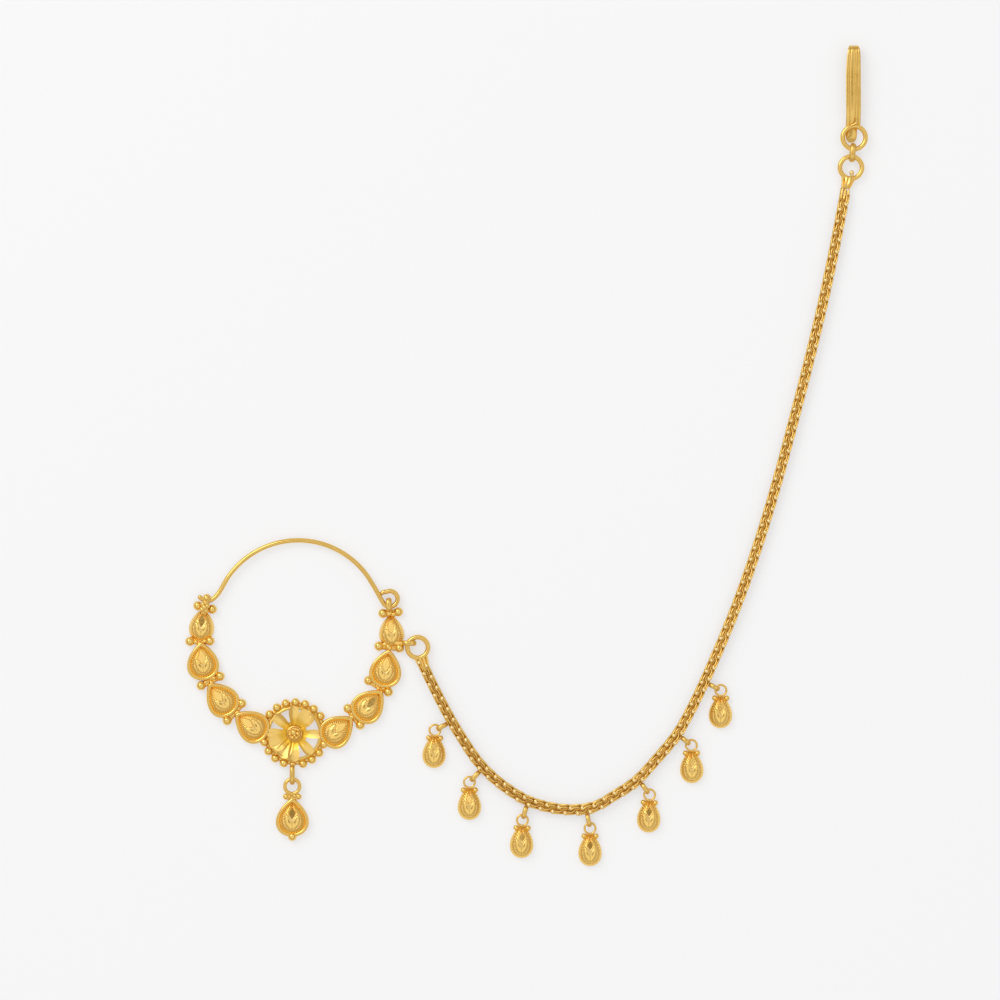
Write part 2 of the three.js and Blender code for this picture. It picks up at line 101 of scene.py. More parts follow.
# %% [markdown]
# A shader is a graph, but its sums read best as sums. `Value` wraps one output socket, and each
# operator on it adds the Math node that works it out. `Finish` is a material being built, with
# one method that adds any node: its type, its settings, and what goes into its sockets.


# %% A way to write shader maths
class Value:
    """An output socket that can be added, subtracted and multiplied."""

    def __init__(self, finish, socket):
        self.finish = finish
        self.socket = socket

    def _math(self, operation, first, second):
        return self.finish.node("Math", {"operation": operation}, {0: first, 1: second})

    def __add__(self, other):
        return self._math("ADD", self, other)

    def __radd__(self, other):
        return self._math("ADD", other, self)

    def __sub__(self, other):
        return self._math("SUBTRACT", self, other)

    def __rsub__(self, other):
        return self._math("SUBTRACT", other, self)

    def __mul__(self, other):
        return self._math("MULTIPLY", self, other)

    def __rmul__(self, other):
        return self._math("MULTIPLY", other, self)


class Finish:
    """A material or a world whose node tree is being written."""

    def __init__(self, owner):
        owner.use_nodes = True
        self.tree = owner.node_tree
        self.tree.nodes.clear()

    def node(self, kind, settings=None, inputs=None, output=0):
        """Add a node: its type, its settings, then the values or links of its sockets."""
        node = self.tree.nodes.new("ShaderNode" + kind)
        for name, value in (settings or {}).items():
            if name == "stops":
                self._set_stops(node.color_ramp, value)
            else:
                setattr(node, name, value)
        for name, value in (inputs or {}).items():
            if isinstance(value, Value):
                self.tree.links.new(value.socket, node.inputs[name])
            else:
                node.inputs[name].default_value = value
        return Value(self, node.outputs[output]) if len(node.outputs) else None

    @staticmethod
    def _set_stops(ramp, stops):
        while len(ramp.elements) < len(stops):
            ramp.elements.new(1.0)
        for element, (position, colour) in zip(ramp.elements, stops):
            element.position = position
            element.color = colour


# %% [markdown]
# Polished gold shows little but its surroundings, so the light is designed first. The photo's
# beads each carry a bright spot with a dark pinhole in it: a soft light all round the lens, with
# the dark lens in its middle. Around that lies a plainer tent, warmer and dimmer towards the
# table, and a soft lamp at the upper left throws the faint shadow at the lower right.

# %% World: a white tent with a bright ring overhead
LENS_HOLE = 0.982
RING_EDGE = 0.68
SOFT = {"ring": 0.06, "hole": 0.015}
TENT_STOPS = [
    (0.0, (0.6, 0.52, 0.42)), (0.3, (0.6, 0.53, 0.43)), (RING_EDGE - SOFT["ring"], (0.62, 0.56, 0.47)),
    (RING_EDGE + SOFT["ring"], (1.0, 0.99, 0.98)), (LENS_HOLE - SOFT["hole"], (1.05, 1.04, 1.04)),
    (LENS_HOLE, (0.34, 0.28, 0.2)),
]


def make_world():
    world = bpy.data.worlds.new("studio")
    bpy.context.scene.world = world
    sky = Finish(world)
    way = sky.node("TexCoord")
    height = sky.node("SeparateXYZ", inputs={0: way}, output=2)
    stops = [(at, (*colour, 1)) for at, colour in TENT_STOPS]
    tent = sky.node("ValToRGB", {"stops": stops}, {0: height})
    background = sky.node("Background", inputs={0: tent, "Strength": 1.0})
    sky.node("OutputWorld", inputs={0: background})


make_world()

# %% Key light from the upper left
KEY = {"from": (-420, 520, 620), "size": 0.5, "watts": 1.7}


def make_key_light():
    light = bpy.data.lights.new("key", "AREA")
    light.size = KEY["size"]
    light.energy = KEY["watts"]
    lamp = add_object("key", light)
    lamp.location = placed(*KEY["from"])
    aim = np.array(placed(*PHOTO_CENTRE, 0)) - np.array(lamp.location)
    lamp.rotation_euler = Vector(aim).to_track_quat("-Z", "Y").to_euler()


make_key_light()
bpy.context.scene.view_settings.view_transform = "Standard"

# %% [markdown]
# Everything is skinned over rings of points: a wire, a strip, a rim and a chased dome are all rows
# of points with faces between them. `Form` keeps such points with their faces, each face's finish
# and each point's share of a painted-light gold, which in a groove is its depth, and forms are
# added up to make a piece.


# %% Forms: points, faces, finishes
class Form:
    """Points in millimetres, the faces over them, the faces' finish and each point's share of a painted-light
    gold, which in grooves follows how deep the point lies.
    """

    def __init__(self, points, faces, finishes, sunk):
        self.points = np.asarray(points, float)
        self.faces = faces
        self.finishes = finishes
        self.sunk = np.asarray(sunk, float)

    def __add__(self, other):
        start = len(self.points)
        faces = self.faces + [tuple(corner + start for corner in face) for face in other.faces]
        points = np.vstack([self.points, other.points])
        sunk = np.concatenate([self.sunk, other.sunk])
        return Form(points, faces, self.finishes + other.finishes, sunk)

    def moved(self, x=0.0, y=0.0, z=0.0):
        return Form(self.points + np.array([x, y, z]), self.faces, self.finishes, self.sunk)

    def turned(self, degrees):
        c, s = math.cos(math.radians(degrees)), math.sin(math.radians(degrees))
        turn = np.array([[c, s, 0], [-s, c, 0], [0, 0, 1]])
        return Form(self.points @ turn, self.faces, self.finishes, self.sunk)


def all_of(forms):
    forms = list(forms)
    total = forms[0]
    for form in forms[1:]:
        total = total + form
    return total


def enclosed(points, faces):
    """Six times the volume inside the faces, negative where they face inwards."""
    total = 0.0
    for face in faces:
        first = points[face[0]]
        for second, third in zip(face[1:], face[2:]):
            total += np.dot(first, np.cross(points[second], points[third]))
    return total


def skin(rings, finish, around=False, sunk=None):
    """Faces over closed rings of points; around joins the last ring to the first."""
    rings = np.asarray(rings, float)
    rows, count = rings.shape[:2]
    points = rings.reshape(-1, 3)
    sunk = np.zeros(len(points)) if sunk is None else np.asarray(sunk, float).reshape(-1)
    faces = []
    for row in range(rows if around else rows - 1):
        here, there = row * count, ((row + 1) % rows) * count
        for i in range(count):
            j = (i + 1) % count
            faces.append((here + i, here + j, there + j, there + i))
    if not around:
        for row, flip in ((0, True), (rows - 1, False)):
            hub = len(points)
            points = np.vstack([points, rings[row].mean(0)])
            sunk = np.append(sunk, sunk[row * count:(row + 1) * count].mean())
            for i in range(count):
                edge = (row * count + i, row * count + (i + 1) % count)
                faces.append((hub, *(edge[::-1] if flip else edge)))
    if enclosed(points, faces) < 0:
        faces = [face[::-1] for face in faces]
    return Form(points, faces, [finish] * len(faces), sunk)


# %% Turn a form into a piece of the frame
CREASE = math.radians(38)


def plain_mesh(name, points, faces=()):
    """Mesh data from points in the frame's metres."""
    mesh = bpy.data.meshes.new(name)
    mesh.from_pydata(np.asarray(points).tolist(), [], list(faces))
    return mesh


def write_values(mesh, name, values):
    """One number for each point, which a finish or a tree reads by its name."""
    mesh.attributes.new(name, "FLOAT", "POINT").data.foreach_set("value", values)


def link_piece(name, mesh, nodes, body):
    """An object for the mesh, tied to the frame."""
    piece = add_object(name, mesh)
    if nodes:
        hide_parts(*nodes)
    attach(piece, body)


def make_piece(name, form, nodes=(), body="nose_ring"):
    """A piece made of one form, smooth all over but for its creases."""
    mesh = plain_mesh(name, (form.points + SHIFT) * MM, form.faces)
    used = list(dict.fromkeys(form.finishes))
    for finish in used:
        mesh.materials.append(finish)
    slots = [used.index(finish) for finish in form.finishes]
    mesh.polygons.foreach_set("material_index", slots)
    write_values(mesh, "sunk", form.sunk)
    mesh.shade_smooth()
    mesh.set_sharp_from_angle(angle=CREASE)
    mesh.update()
    print(name, len(mesh.polygons), "faces")
    link_piece(name, mesh, nodes, body)


# %% [markdown]
# The gold is a saturated 22 carat yellow. One bounce of white light off it is a warm yellow, and
# two or three in a groove go to deep orange. The chased grooves therefore get a paler gold, painted
# light against that shade, so that they end up amber, while the flower's bowl gets a deeper one as
# painted shade. Six finishes share one recipe: polished for rings, beads and rims, satin for strips,
# chased for the punched domes, one for the petals, solder for the plates, which were fused with
# powdered gold, and drawn for the long wires of the hoop and the chain, whose bends carry a pale
# gold as a painted highlight.

# %% Gold finishes
GOLD = (0.88, 0.575, 0.148, 1)
GOLD_WORN = (0.93, 0.655, 0.215, 1)
GOLD_DULL = (0.68, 0.42, 0.088, 1)
# A deeper gold for the flower's bowl and the petals' roots: painted shade.
GOLD_BOWL_SHADE = (0.9, 0.55, 0.06, 1)
# A paler gold for the chased grooves: painted light against the deep orange shade that bounces in them.
GOLD_PALE = (0.92, 0.68, 0.29, 1)
GOLD_LINK = (0.8, 0.51, 0.12, 1)
# A pale gold for the beads in the chain's bends: a painted highlight.
GOLD_PAINTED_GLINT = (1.0, 0.82, 0.48, 1)
WEAR = {"scale": 420.0, "detail": 3.0}
SURFACE = {"detail": 4.0, "strength": 0.35}
ROUGHER_IN_GROOVES = 0.11


def noise(finish, place, scale, detail):
    """Soft patches from 0 to 1 that stay where they are on the piece."""
    return finish.node("TexNoise", inputs={"Vector": place, "Scale": scale, "Detail": detail})


def mixed(finish, share, first, second):
    """A colour between two others, at a share from 0 to 1."""
    return finish.node("Mix", {"data_type": "RGBA"}, {0: share, 6: first, 7: second}, output=2)


def gold_finish(name, roughness, spread, grain, depth, base=GOLD, painted_light_gold=GOLD_PALE):
    """Gold with patches of wear, a scratched or grainy surface, and a second tone of painted light in grooves
    and wherever else a point's share calls for it.
    """
    material = bpy.data.materials.new(name)
    gold = Finish(material)
    place = gold.node("TexCoord", output=3)
    patches = noise(gold, place, WEAR["scale"], WEAR["detail"])
    fine = noise(gold, place, grain, SURFACE["detail"])
    painted_tone_share = gold.node("Attribute", {"attribute_name": "sunk"}, output=2)
    tone = mixed(gold, patches, base, GOLD_WORN)
    bump = gold.node("Bump", inputs={
        "Strength": SURFACE["strength"], "Distance": depth * MM, "Height": fine,
    })
    shader = gold.node("BsdfPrincipled", inputs={
        "Base Color": mixed(gold, painted_tone_share, tone, painted_light_gold),
        "Metallic": 1.0,
        "Roughness": roughness + (patches + fine - 1.0) * spread + painted_tone_share * ROUGHER_IN_GROOVES,
        "Normal": bump,
    })
    gold.node("OutputMaterial", inputs={0: shader})
    return material


POLISHED = gold_finish("polished_gold", 0.17, 0.1, 5200.0, 0.012)
SATIN = gold_finish("satin_gold", 0.3, 0.14, 4200.0, 0.03, GOLD_DULL)
PETAL_GOLD = gold_finish("petal_gold", 0.31, 0.12, 4200.0, 0.02, painted_light_gold=GOLD_BOWL_SHADE)
CHASED = gold_finish("chased_gold", 0.24, 0.12, 2600.0, 0.025)
SOLDER = gold_finish("solder_gold", 0.34, 0.2, 3600.0, 0.07)
DRAWN = gold_finish("drawn_gold", 0.18, 0.1, 5200.0, 0.012, GOLD_LINK, GOLD_PAINTED_GLINT)
print("finishes", [finish.name for finish in (POLISHED, SATIN, PETAL_GOLD, CHASED, SOLDER, DRAWN)])

# %% [markdown]
# The table is a white card lit faintly from behind, as a product table is. The glow keeps the
# shadows pale, and since it is a little cooler than the other light, it turns them slightly blue.

# %% Table
CARD = {"side": 3000, "drop": 0.02, "colour": (0.49, 0.485, 0.475, 1), "roughness": 0.9}
GLOW = {"colour": (0.891, 0.933, 1.0, 1), "strength": 0.526}
TOOTH = {"scale": 900.0, "detail": 3.0, "strength": 0.1, "depth": 0.00002}


def card_finish():
    material = bpy.data.materials.new("white_card")
    card = Finish(material)
    place = card.node("TexCoord", output=3)
    tooth = noise(card, place, TOOTH["scale"], TOOTH["detail"])
    bump = card.node("Bump", inputs={
        "Strength": TOOTH["strength"], "Distance": TOOTH["depth"], "Height": tooth,
    })
    shader = card.node("BsdfPrincipled", inputs={
        "Base Color": CARD["colour"],
        "Roughness": CARD["roughness"],
        "Emission Color": GLOW["colour"],
        "Emission Strength": GLOW["strength"],
        "Normal": bump,
    })
    card.node("OutputMaterial", inputs={0: shader})
    return material


def make_table():
    half = CARD["side"] / 2
    sides = ((-1, -1), (1, -1), (1, 1), (-1, 1))
    corners = [placed(x * half, y * half, -CARD["drop"]) for x, y in sides]
    mesh = plain_mesh("table", corners, [(0, 1, 2, 3)])
    mesh.materials.append(card_finish())
    table = add_object("table", mesh)


make_table()

# %% [markdown]
# Round wire is a circle carried along a path. The path is a smooth curve through a few chosen
# points, stepped evenly, and each circle stands square to it.


# %% Paths and round wire
CURVE_STEPS = 24
LEAST_GAP = 1e-6


def smooth_path(points, steps, closed=False):
    """Even steps along a centripetal Catmull-Rom curve through the points."""
    points = np.asarray(points, float)
    if closed:
        around = np.vstack([points[-1], points, points[:2]])
    else:
        around = np.vstack([2 * points[0] - points[1], points, 2 * points[-1] - points[-2]])
    fine = []
    for before, start, end, after in zip(around, around[1:], around[2:], around[3:]):
        spans = ((before, start), (start, end), (end, after))
        gaps = [max(np.linalg.norm(there - here), LEAST_GAP) ** 0.5 for here, there in spans]
        leave = (start - before) / gaps[0] - (end - before) / (gaps[0] + gaps[1]) + (end - start) / gaps[1]
        arrive = (end - start) / gaps[1] - (after - start) / (gaps[1] + gaps[2]) + (after - end) / gaps[2]
        leave, arrive = leave * gaps[1], arrive * gaps[1]
        for t in np.linspace(0, 1, CURVE_STEPS, endpoint=False):
            fine.append((2 * t**3 - 3 * t**2 + 1) * start + (t**3 - 2 * t**2 + t) * leave
                        + (3 * t**2 - 2 * t**3) * end + (t**3 - t**2) * arrive)
    fine.append(around[-2])
    return even_steps(np.array(fine), steps, closed)


def steps_of(path):
    return np.linalg.norm(np.diff(path, axis=0), axis=1)


def path_length(path):
    return float(steps_of(path).sum())


def at_distance(path, distance):
    """The point, or points, that lie a distance along a path."""
    run = np.concatenate([[0], np.cumsum(steps_of(path))])
    return np.stack([np.interp(distance, run, path[:, axis]) for axis in range(3)], axis=-1)


def even_steps(path, steps, closed=False):
    """The same path with its points a steady distance apart."""
    length = np.cumsum(steps_of(path))[-1]
    return at_distance(path, np.linspace(0, length, steps, endpoint=not closed))


def ways_along(path, closed):
    """The direction of travel at each point of a path."""
    if closed:
        ways = np.roll(path, -1, axis=0) - np.roll(path, 1, axis=0)
    else:
        ways = np.gradient(path, axis=0)
    return ways / np.linalg.norm(ways, axis=1, keepdims=True)


def circle_points(count, radius):
    turns = np.arange(count) * 2 * math.pi / count
    return np.stack([radius * np.cos(turns), radius * np.sin(turns)], axis=1)


def carried_sides(ways, closed):
    """A direction square to the travel at each point, carried along without twist."""
    side = np.cross(ways[0], (0, 0, 1) if abs(ways[0][2]) < 0.9 else (1, 0, 0))
    sides = [side / np.linalg.norm(side)]
    for way in ways[1:]:
        side = sides[-1] - np.dot(sides[-1], way) * way
        sides.append(side / np.linalg.norm(side))
    sides = np.array(sides)
    if closed:
        last = sides[-1] - np.dot(sides[-1], ways[0]) * ways[0]
        twist = math.atan2(np.dot(np.cross(last, sides[0]), ways[0]), np.dot(last, sides[0]))
        turn = np.linspace(0, twist, len(ways), endpoint=False)[:, None]
        sides = sides * np.cos(turn) + np.cross(ways, sides) * np.sin(turn)
    return sides


def wire(path, across, finish, sides=14, closed=False, ends=0.0):
    """Round wire along a path; ends draws the last few rings in to a rounded tip."""
    ways = ways_along(path, closed)
    side = carried_sides(ways, closed)
    rise = np.cross(side, ways)
    section = circle_points(sides, across / 2)
    girth = np.ones(len(path))
    if ends and not closed:
        run = np.linspace(0, path_length(path), len(path))
        for off in (run, run[::-1]):
            near = np.clip(off / ends, 0, 1)
            girth *= np.sqrt(np.clip(1 - (1 - near) ** 2, 0.02, 1))
    rings = path[:, None] + girth[:, None, None] * (
        section[None, :, :1] * side[:, None] + section[None, :, 1:] * rise[:, None])
    return skin(rings, finish, around=closed)


def ring_path(radius, steps=64, z=0.0):
    return np.column_stack([circle_points(steps, radius), np.full(steps, z)])


def wire_ring(radius, across, z, steps=64, sides=14):
    """A closed ring of polished wire that lies flat."""
    return wire(ring_path(radius, steps, z), across, POLISHED, sides, closed=True)


def on_circle(centre, radius, degrees, left=0.0):
    """The place so far from a centre along a heading, and so far to the left of it."""
    c, s = math.cos(math.radians(degrees)), math.sin(math.radians(degrees))
    return centre[0] + radius * c - left * s, centre[1] + radius * s + left * c


def heading(way):
    """A direction in degrees, anticlockwise from +X."""
    return math.degrees(math.atan2(way[1], way[0]))


# %% [markdown]
# The nose wire is one length of round wire. It starts with a turned-up tail in the catch, runs over
# the top of the hoop, and ends in a small loop through the hinge eye, closed against itself.

# %% Nose wire
WIRE = {"across": 0.85, "steps": 330, "sides": 16, "tip": 0.35}
WIRE_Z = HINGE["z"]
HOOP = {"radius": 15.3, "from": 155, "to": 29, "points": 14}
WIRE_TAIL = [(-17.95, 5.35), (-17.25, 4.75), (-16.5, 4.47), (-15.75, 4.55), (-15.0, 5.0), (-14.4, 5.68)]
LOOP_TURN = {"joins": 206, "closes": 478, "points": 20}
LOOP_END = [(15.42, 6.0), (14.82, 5.62)]


def nose_wire():
    points = list(WIRE_TAIL)
    for degrees in np.linspace(HOOP["from"], HOOP["to"], HOOP["points"]):
        points.append(on_circle((0, 0), HOOP["radius"], degrees))
    for degrees in np.linspace(LOOP_TURN["joins"], LOOP_TURN["closes"], LOOP_TURN["points"]):
        points.append(on_circle((HINGE["x"], HINGE["y"]), HINGE["loop"], degrees))
    points += LOOP_END
    flat = [(x, y, WIRE_Z) for x, y in points]
    path = smooth_path(flat, WIRE["steps"])
    print("nose wire", round(path_length(path), 1), "mm long")
    return wire(path, WIRE["across"], DRAWN, WIRE["sides"], ends=WIRE["tip"])


make_piece("nose_wire_round", nose_wire(), ["nose_wire"], "hoop_wire")

# %% [markdown]
# Every pear on the jewel has one outline. It is an ellipse whose sides are pinched towards one end:
# the more `point` it has, the sharper its tip. Drawing it in by an inset gives the rim and dome.


# %% The pear's outline
INSET_ALONG = {"tip": 1.15, "shift": 0.15}


def pear_halves(form, inset):
    """Half the length and half the width of a pear drawn in by the inset."""
    return form["long"] / 2 - inset * INSET_ALONG["tip"], form["wide"] / 2 - inset


def pear_outline(form, inset, count):
    """Points of a pear with its tip towards +X, drawn in by the inset."""
    sharp = form["point"]
    turn = np.arange(count) * 2 * math.pi / count
    widest = math.acos(-sharp / (sharp + 2))
    fullness = math.sin(widest) * math.sin(widest / 2) ** sharp
    half_long, half_wide = pear_halves(form, inset)
    x = half_long * np.cos(turn) - inset * INSET_ALONG["shift"]
    y = half_wide * np.sin(turn) * np.sin(turn / 2) ** sharp / fullness
    return np.stack([x, y], axis=1)


def pear_rings(form, profile, count):
    """Rings of the pear's outline at each inset and height of a profile."""
    return np.array([
        np.column_stack([pear_outline(form, inset, count), np.full(count, z)])
        for inset, z in profile
    ])


# %% [markdown]
# A setting's rim is half-round wire soldered on edge. The rim's section is a loop, so the rim
# closes on itself both ways, like a tyre round a wheel.

# %% Rim of a setting
RIM = {"wide": 0.7, "middle": 1.06, "floor": 0.02}
RIM_OUTSIDE = [(0.03, RIM["floor"]), (0.0, 0.2), (0.0, 0.7)]
RIM_INSIDE = [(RIM["wide"], 0.6), (RIM["wide"], RIM["floor"])]
PEAR_POINTS = 132


def rim(form):
    half = RIM["wide"] / 2
    profile = list(RIM_OUTSIDE)
    for degrees in range(180, -1, -15):
        turn = math.radians(degrees)
        profile.append((half + half * math.cos(turn), RIM["middle"] + half * math.sin(turn)))
    return skin(pear_rings(form, profile + RIM_INSIDE, PEAR_POINTS), POLISHED, around=True)


# %% [markdown]
# Each dome is punched from thin sheet with one old motif: a diamond over two leaves that spring from
# the foot, and short flutes all round the edge. It is made as height over the pear, so the relief
# is real geometry. Every mark is a mask, soft at its edge, that raises or sinks the surface.


# %% Marks on a dome
def step(value, low, high):
    """A smooth rise from 0 at low to 1 at high; low may be the greater."""
    t = np.clip((value - low) / (high - low), 0, 1)
    return t * t * (3 - 2 * t)


DIAMOND = {"at": 0.26, "bow": 1.3}
LEAF_MARK = {"foot": (-0.78, 0.03), "head": (0.14, 0.5), "wide": 0.25, "bow": 0.04}
FLUTE = {"points": 4, "from": 0.58, "full": 0.66, "round": 0.6, "level": 0.75}
VEIN = {"along": 26, "aslant": 12}
DEEP = {"outline": 0.08, "edge": 0.06, "leaf": 0.1, "vein": 0.012, "flute": 0.13}


def diamond_distance(u, v, size):
    """1 on the outline of a diamond of that size, less inside it."""
    along = np.abs(u - DIAMOND["at"]) / size[0]
    across = np.abs(v) / size[1]
    return along ** DIAMOND["bow"] + across ** DIAMOND["bow"]


def leaf_place(u, v):
    """How far along a leaf a point lies, from 0 to 1, and how far off its middle line."""
    foot, head = np.array(LEAF_MARK["foot"]), np.array(LEAF_MARK["head"])
    run = head - foot
    length = np.linalg.norm(run)
    run /= length
    du, dv = u - foot[0], np.abs(v) - foot[1]
    along = (du * run[0] + dv * run[1]) / length
    bow = LEAF_MARK["bow"] * np.sin(np.clip(along, 0, 1) * math.pi)
    return along, dv * run[0] - du * run[1] - bow


def chased_relief(u, v, edge, turn, diamond):
    """Heights in mm of the leaves and outlines, and of the flutes, on a dome of half size 1."""
    along, off = leaf_place(u, v)
    half = LEAF_MARK["wide"] * np.sqrt(np.sin(np.clip(along, 0.01, 0.99) * math.pi))
    leaf = np.abs(off) / half
    in_leaf = step(leaf, 1.0, 0.85) * step(along, 0.0, 0.06) * step(along, 1.0, 0.95)
    by_leaf = step(leaf, 1.3, 1.06) * step(along, -0.06, 0.02) * step(along, 1.06, 1.0)
    by_diamond = step(diamond, 1.32, 1.1)
    flute = np.abs(np.sin(turn * (len(turn) // FLUTE["points"]) / 2)) ** FLUTE["round"]
    at_edge = step(edge, FLUTE["from"], FLUTE["full"]) * (1 - by_leaf) * (1 - by_diamond)
    veins = 0.5 + 0.5 * np.cos(along * VEIN["along"] + off * VEIN["aslant"])
    height = -np.maximum(DEEP["outline"] * by_diamond, DEEP["edge"] * by_leaf * (1 - in_leaf))
    height += in_leaf * (1 - by_diamond) * (DEEP["leaf"] * (1 - leaf**2) - DEEP["vein"] * veins)
    return height, DEEP["flute"] * at_edge * (flute - FLUTE["level"])


# %% Chased dome
DOME_RINGS = {"count": 36, "inmost": 0.985, "closer": 1.25}
DOME = {"shoulder": 0.34, "ease": 0.24, "middle": -0.06}
DOME_POINTS = PEAR_POINTS + 28


def dome_base(share, half_wide, rise):
    """Height of the plain dome, which has a steep shoulder and a gently rounded top."""
    shoulder = 1 - np.exp(-(1 - share) * half_wide / DOME["ease"])
    return rise * (DOME["shoulder"] * shoulder + (1 - DOME["shoulder"]) * (1 - share**2))


def dome(form, inset, edge_z, rise, lean=(0.0, 0.0), count=DOME_POINTS):
    """A chased dome inside the outline at the inset, closed by a flat underside."""
    outline = pear_outline(form, inset, count)
    middle = np.array([form["long"] * DOME["middle"], 0.0])
    half_long, half_wide = pear_halves(form, inset)
    turn = np.arange(count) * 2 * math.pi / count
    facet_x = DIAMOND["at"] * half_long
    facet_z = dome_base((facet_x - middle[0]) / (half_long - middle[0]), half_wide, rise)
    rings = [np.column_stack([outline, np.full(count, RIM["floor"])])]
    sunk = [np.ones(count)]
    even = np.linspace(0, 1, DOME_RINGS["count"])
    for share in 1 - DOME_RINGS["inmost"] * even ** DOME_RINGS["closer"]:
        flat = middle + (outline - middle) * share
        u, v = flat[:, 0] / half_long, flat[:, 1] / half_wide
        diamond = diamond_distance(u, v, form["diamond"])
        height, flutes = chased_relief(u, v, share, turn, diamond)
        facet = step(diamond, 1.08, 0.92)
        plane = facet_z + lean[0] * (flat[:, 0] - facet_x) + lean[1] * flat[:, 1]
        raised = (dome_base(share, half_wide, rise) + height + flutes) * (1 - facet) + plane * facet
        rings.append(np.column_stack([flat, edge_z + raised]))
        # A groove's depth sets its share of the paler gold, painted light against its shade; the diamond
        # facet takes none.
        sunk.append(np.clip(-height / DEEP["outline"], 0, 1) * (1 - facet) - facet)
    return skin(np.array(rings), CHASED, sunk=np.array(sunk))


# %% [markdown]
# The crescent carries six rimmed settings and a plain-edged pear at each end, set round an arc. The
# photo shows some diamonds flashing and others dark, because each leans a little differently.

# %% Pears of the crescent
ARC = {"centre": (-0.34, -2.38), "radius": 17.37}
SETTING = {"wide": 5.8, "long": 7.0, "point": 0.7, "diamond": (0.45, 0.29)}
END_LEAF = {"wide": 4.5, "long": 5.9, "point": 0.6, "diamond": (0.38, 0.27)}
FRAMED_DOME = {"inset": RIM["wide"] - 0.1, "edge_z": 1.12, "rise": 0.9}
FREE_DOME = {"inset": 0.0, "edge_z": 0.5, "rise": 1.4}


def as_rows(keys, *values):
    """Rows of a table, each with the same keys."""
    return [dict(zip(keys.split(), row)) for row in values]


PEARS = as_rows(
    "at out tip form lean",
    (171.9, -0.18, 84, END_LEAF, (0.07, 0.055)),
    (193.5, -0.05, 95.7, SETTING, (-0.16, 0.16)),
    (218.5, -0.02, 129, SETTING, (-0.16, 0.18)),
    (242.3, 0.2, 143, SETTING, (-0.18, 0.12)),
    (294.4, 0.7, 41, SETTING, (-0.12, -0.12)),
    (317.7, 0.4, 48, SETTING, (0.03, 0.07)),
    (341.5, -0.38, 80.5, SETTING, (-0.12, -0.12)),
    (4.5, -0.22, 94, END_LEAF, (-0.18, 0.12)),
)


def pear_at(pear, build):
    x, y = on_circle(ARC["centre"], ARC["radius"] + pear["out"], pear["at"])
    return build(pear).turned(pear["tip"]).moved(x, y)


def pear_dome(pear):
    if pear["form"] is SETTING:
        return dome(SETTING, **FRAMED_DOME, lean=pear["lean"])
    return dome(END_LEAF, **FREE_DOME, lean=pear["lean"])


rimmed = [pear for pear in PEARS if pear["form"] is SETTING]
rims = all_of(pear_at(pear, lambda pear: rim(pear["form"])) for pear in rimmed)
domes = all_of(pear_at(pear, pear_dome) for pear in PEARS)
make_piece("setting_rims", rims, ["crescent"])
make_piece("chased_domes", domes)

# %% [markdown]
# Granules are tiny gold balls. They sit in pairs at the joints, all round the flower and on its
# boss, so they repeat, and Geometry Nodes place them: one ball on each point of a cloud, sized by
# an attribute of the point. The result is realized and kept as a plain mesh.


# %% How every tree starts and ends
def start_tree(name, inputs):
    """A tree with inputs for geometry and for each name given, and what comes in by them."""
    tree = bpy.data.node_groups.new(name, "GeometryNodeTree")
    for label, kind in {"Geometry": "Geometry", **inputs}.items():
        tree.interface.new_socket(label, in_out="INPUT", socket_type="NodeSocket" + kind)
    tree.interface.new_socket("Geometry", in_out="OUTPUT", socket_type="NodeSocketGeometry")
    return tree, tree.nodes.new("NodeGroupInput").outputs


def add_node(tree, kind, inputs, **settings):
    """A node with its settings and the values or links of its sockets; its outputs come back."""
    node = tree.nodes.new("GeometryNode" + kind)
    for name, value in settings.items():
        setattr(node, name, value)
    for name, value in inputs.items():
        if isinstance(value, bpy.types.NodeSocket):
            tree.links.new(value, node.inputs[name])
        else:
            node.inputs[name].default_value = value
    return node.outputs


def end_tree(tree, given, instances):
    """Make the instances real, smooth them, give them their finish and send them out."""
    real = add_node(tree, "RealizeInstances", {"Geometry": instances})
    smooth = add_node(tree, "SetShadeSmooth", {"Geometry": real["Geometry"]})
    done = add_node(tree, "SetMaterial", {"Geometry": smooth["Geometry"], "Material": given["Finish"]})
    tree.links.new(done["Geometry"], tree.nodes.new("NodeGroupOutput").inputs["Geometry"])
    return tree


# %% A tree that puts granules on points
BALL = {"rings": 14, "sides": 24}


def granule_tree():
    tree, given = start_tree("granules", {"Sides": "Int", "Finish": "Material"})
    ball = add_node(tree, "MeshUVSphere", {
        "Segments": given["Sides"], "Rings": BALL["rings"], "Radius": 1.0,
    })
    size = add_node(tree, "InputNamedAttribute", {"Name": "radius"})
    balls = add_node(tree, "InstanceOnPoints", {
        "Points": given["Geometry"], "Instance": ball["Mesh"], "Scale": size["Attribute"],
    })
    return end_tree(tree, given, balls["Instances"])


GRANULES = granule_tree()


def socket_id(tree, name):
    return next(item.identifier for item in tree.interface.items_tree
                if item.name == name and item.in_out == "INPUT")


def evaluated_mesh(holder, tree, values):
    """The mesh that a tree makes of an object, as plain mesh data."""
    modifier = holder.modifiers.new(tree.name, "NODES")
    modifier.node_group = tree
    for name, value in values.items():
        modifier[socket_id(tree, name)] = value
    bpy.context.view_layer.update()
    graph = bpy.context.evaluated_depsgraph_get()
    mesh = bpy.data.meshes.new_from_object(holder.evaluated_get(graph))
    holder.modifiers.remove(modifier)
    bpy.data.objects.remove(holder)
    return mesh


def make_granules(name, granules, nodes=(), body="nose_ring"):
    """A piece of gold balls, each given as x, y, z and its width in mm."""
    granules = np.array(granules)
    cloud = plain_mesh(name + "_points", (granules[:, :3] + SHIFT) * MM)
    write_values(cloud, "radius", granules[:, 3] / 2 * MM)
    holder = add_object(name + "_points", cloud)
    mesh = evaluated_mesh(holder, GRANULES, {"Sides": BALL["sides"], "Finish": POLISHED})
    print(name, len(granules), "granules")
    link_piece(name, mesh, nodes, body)


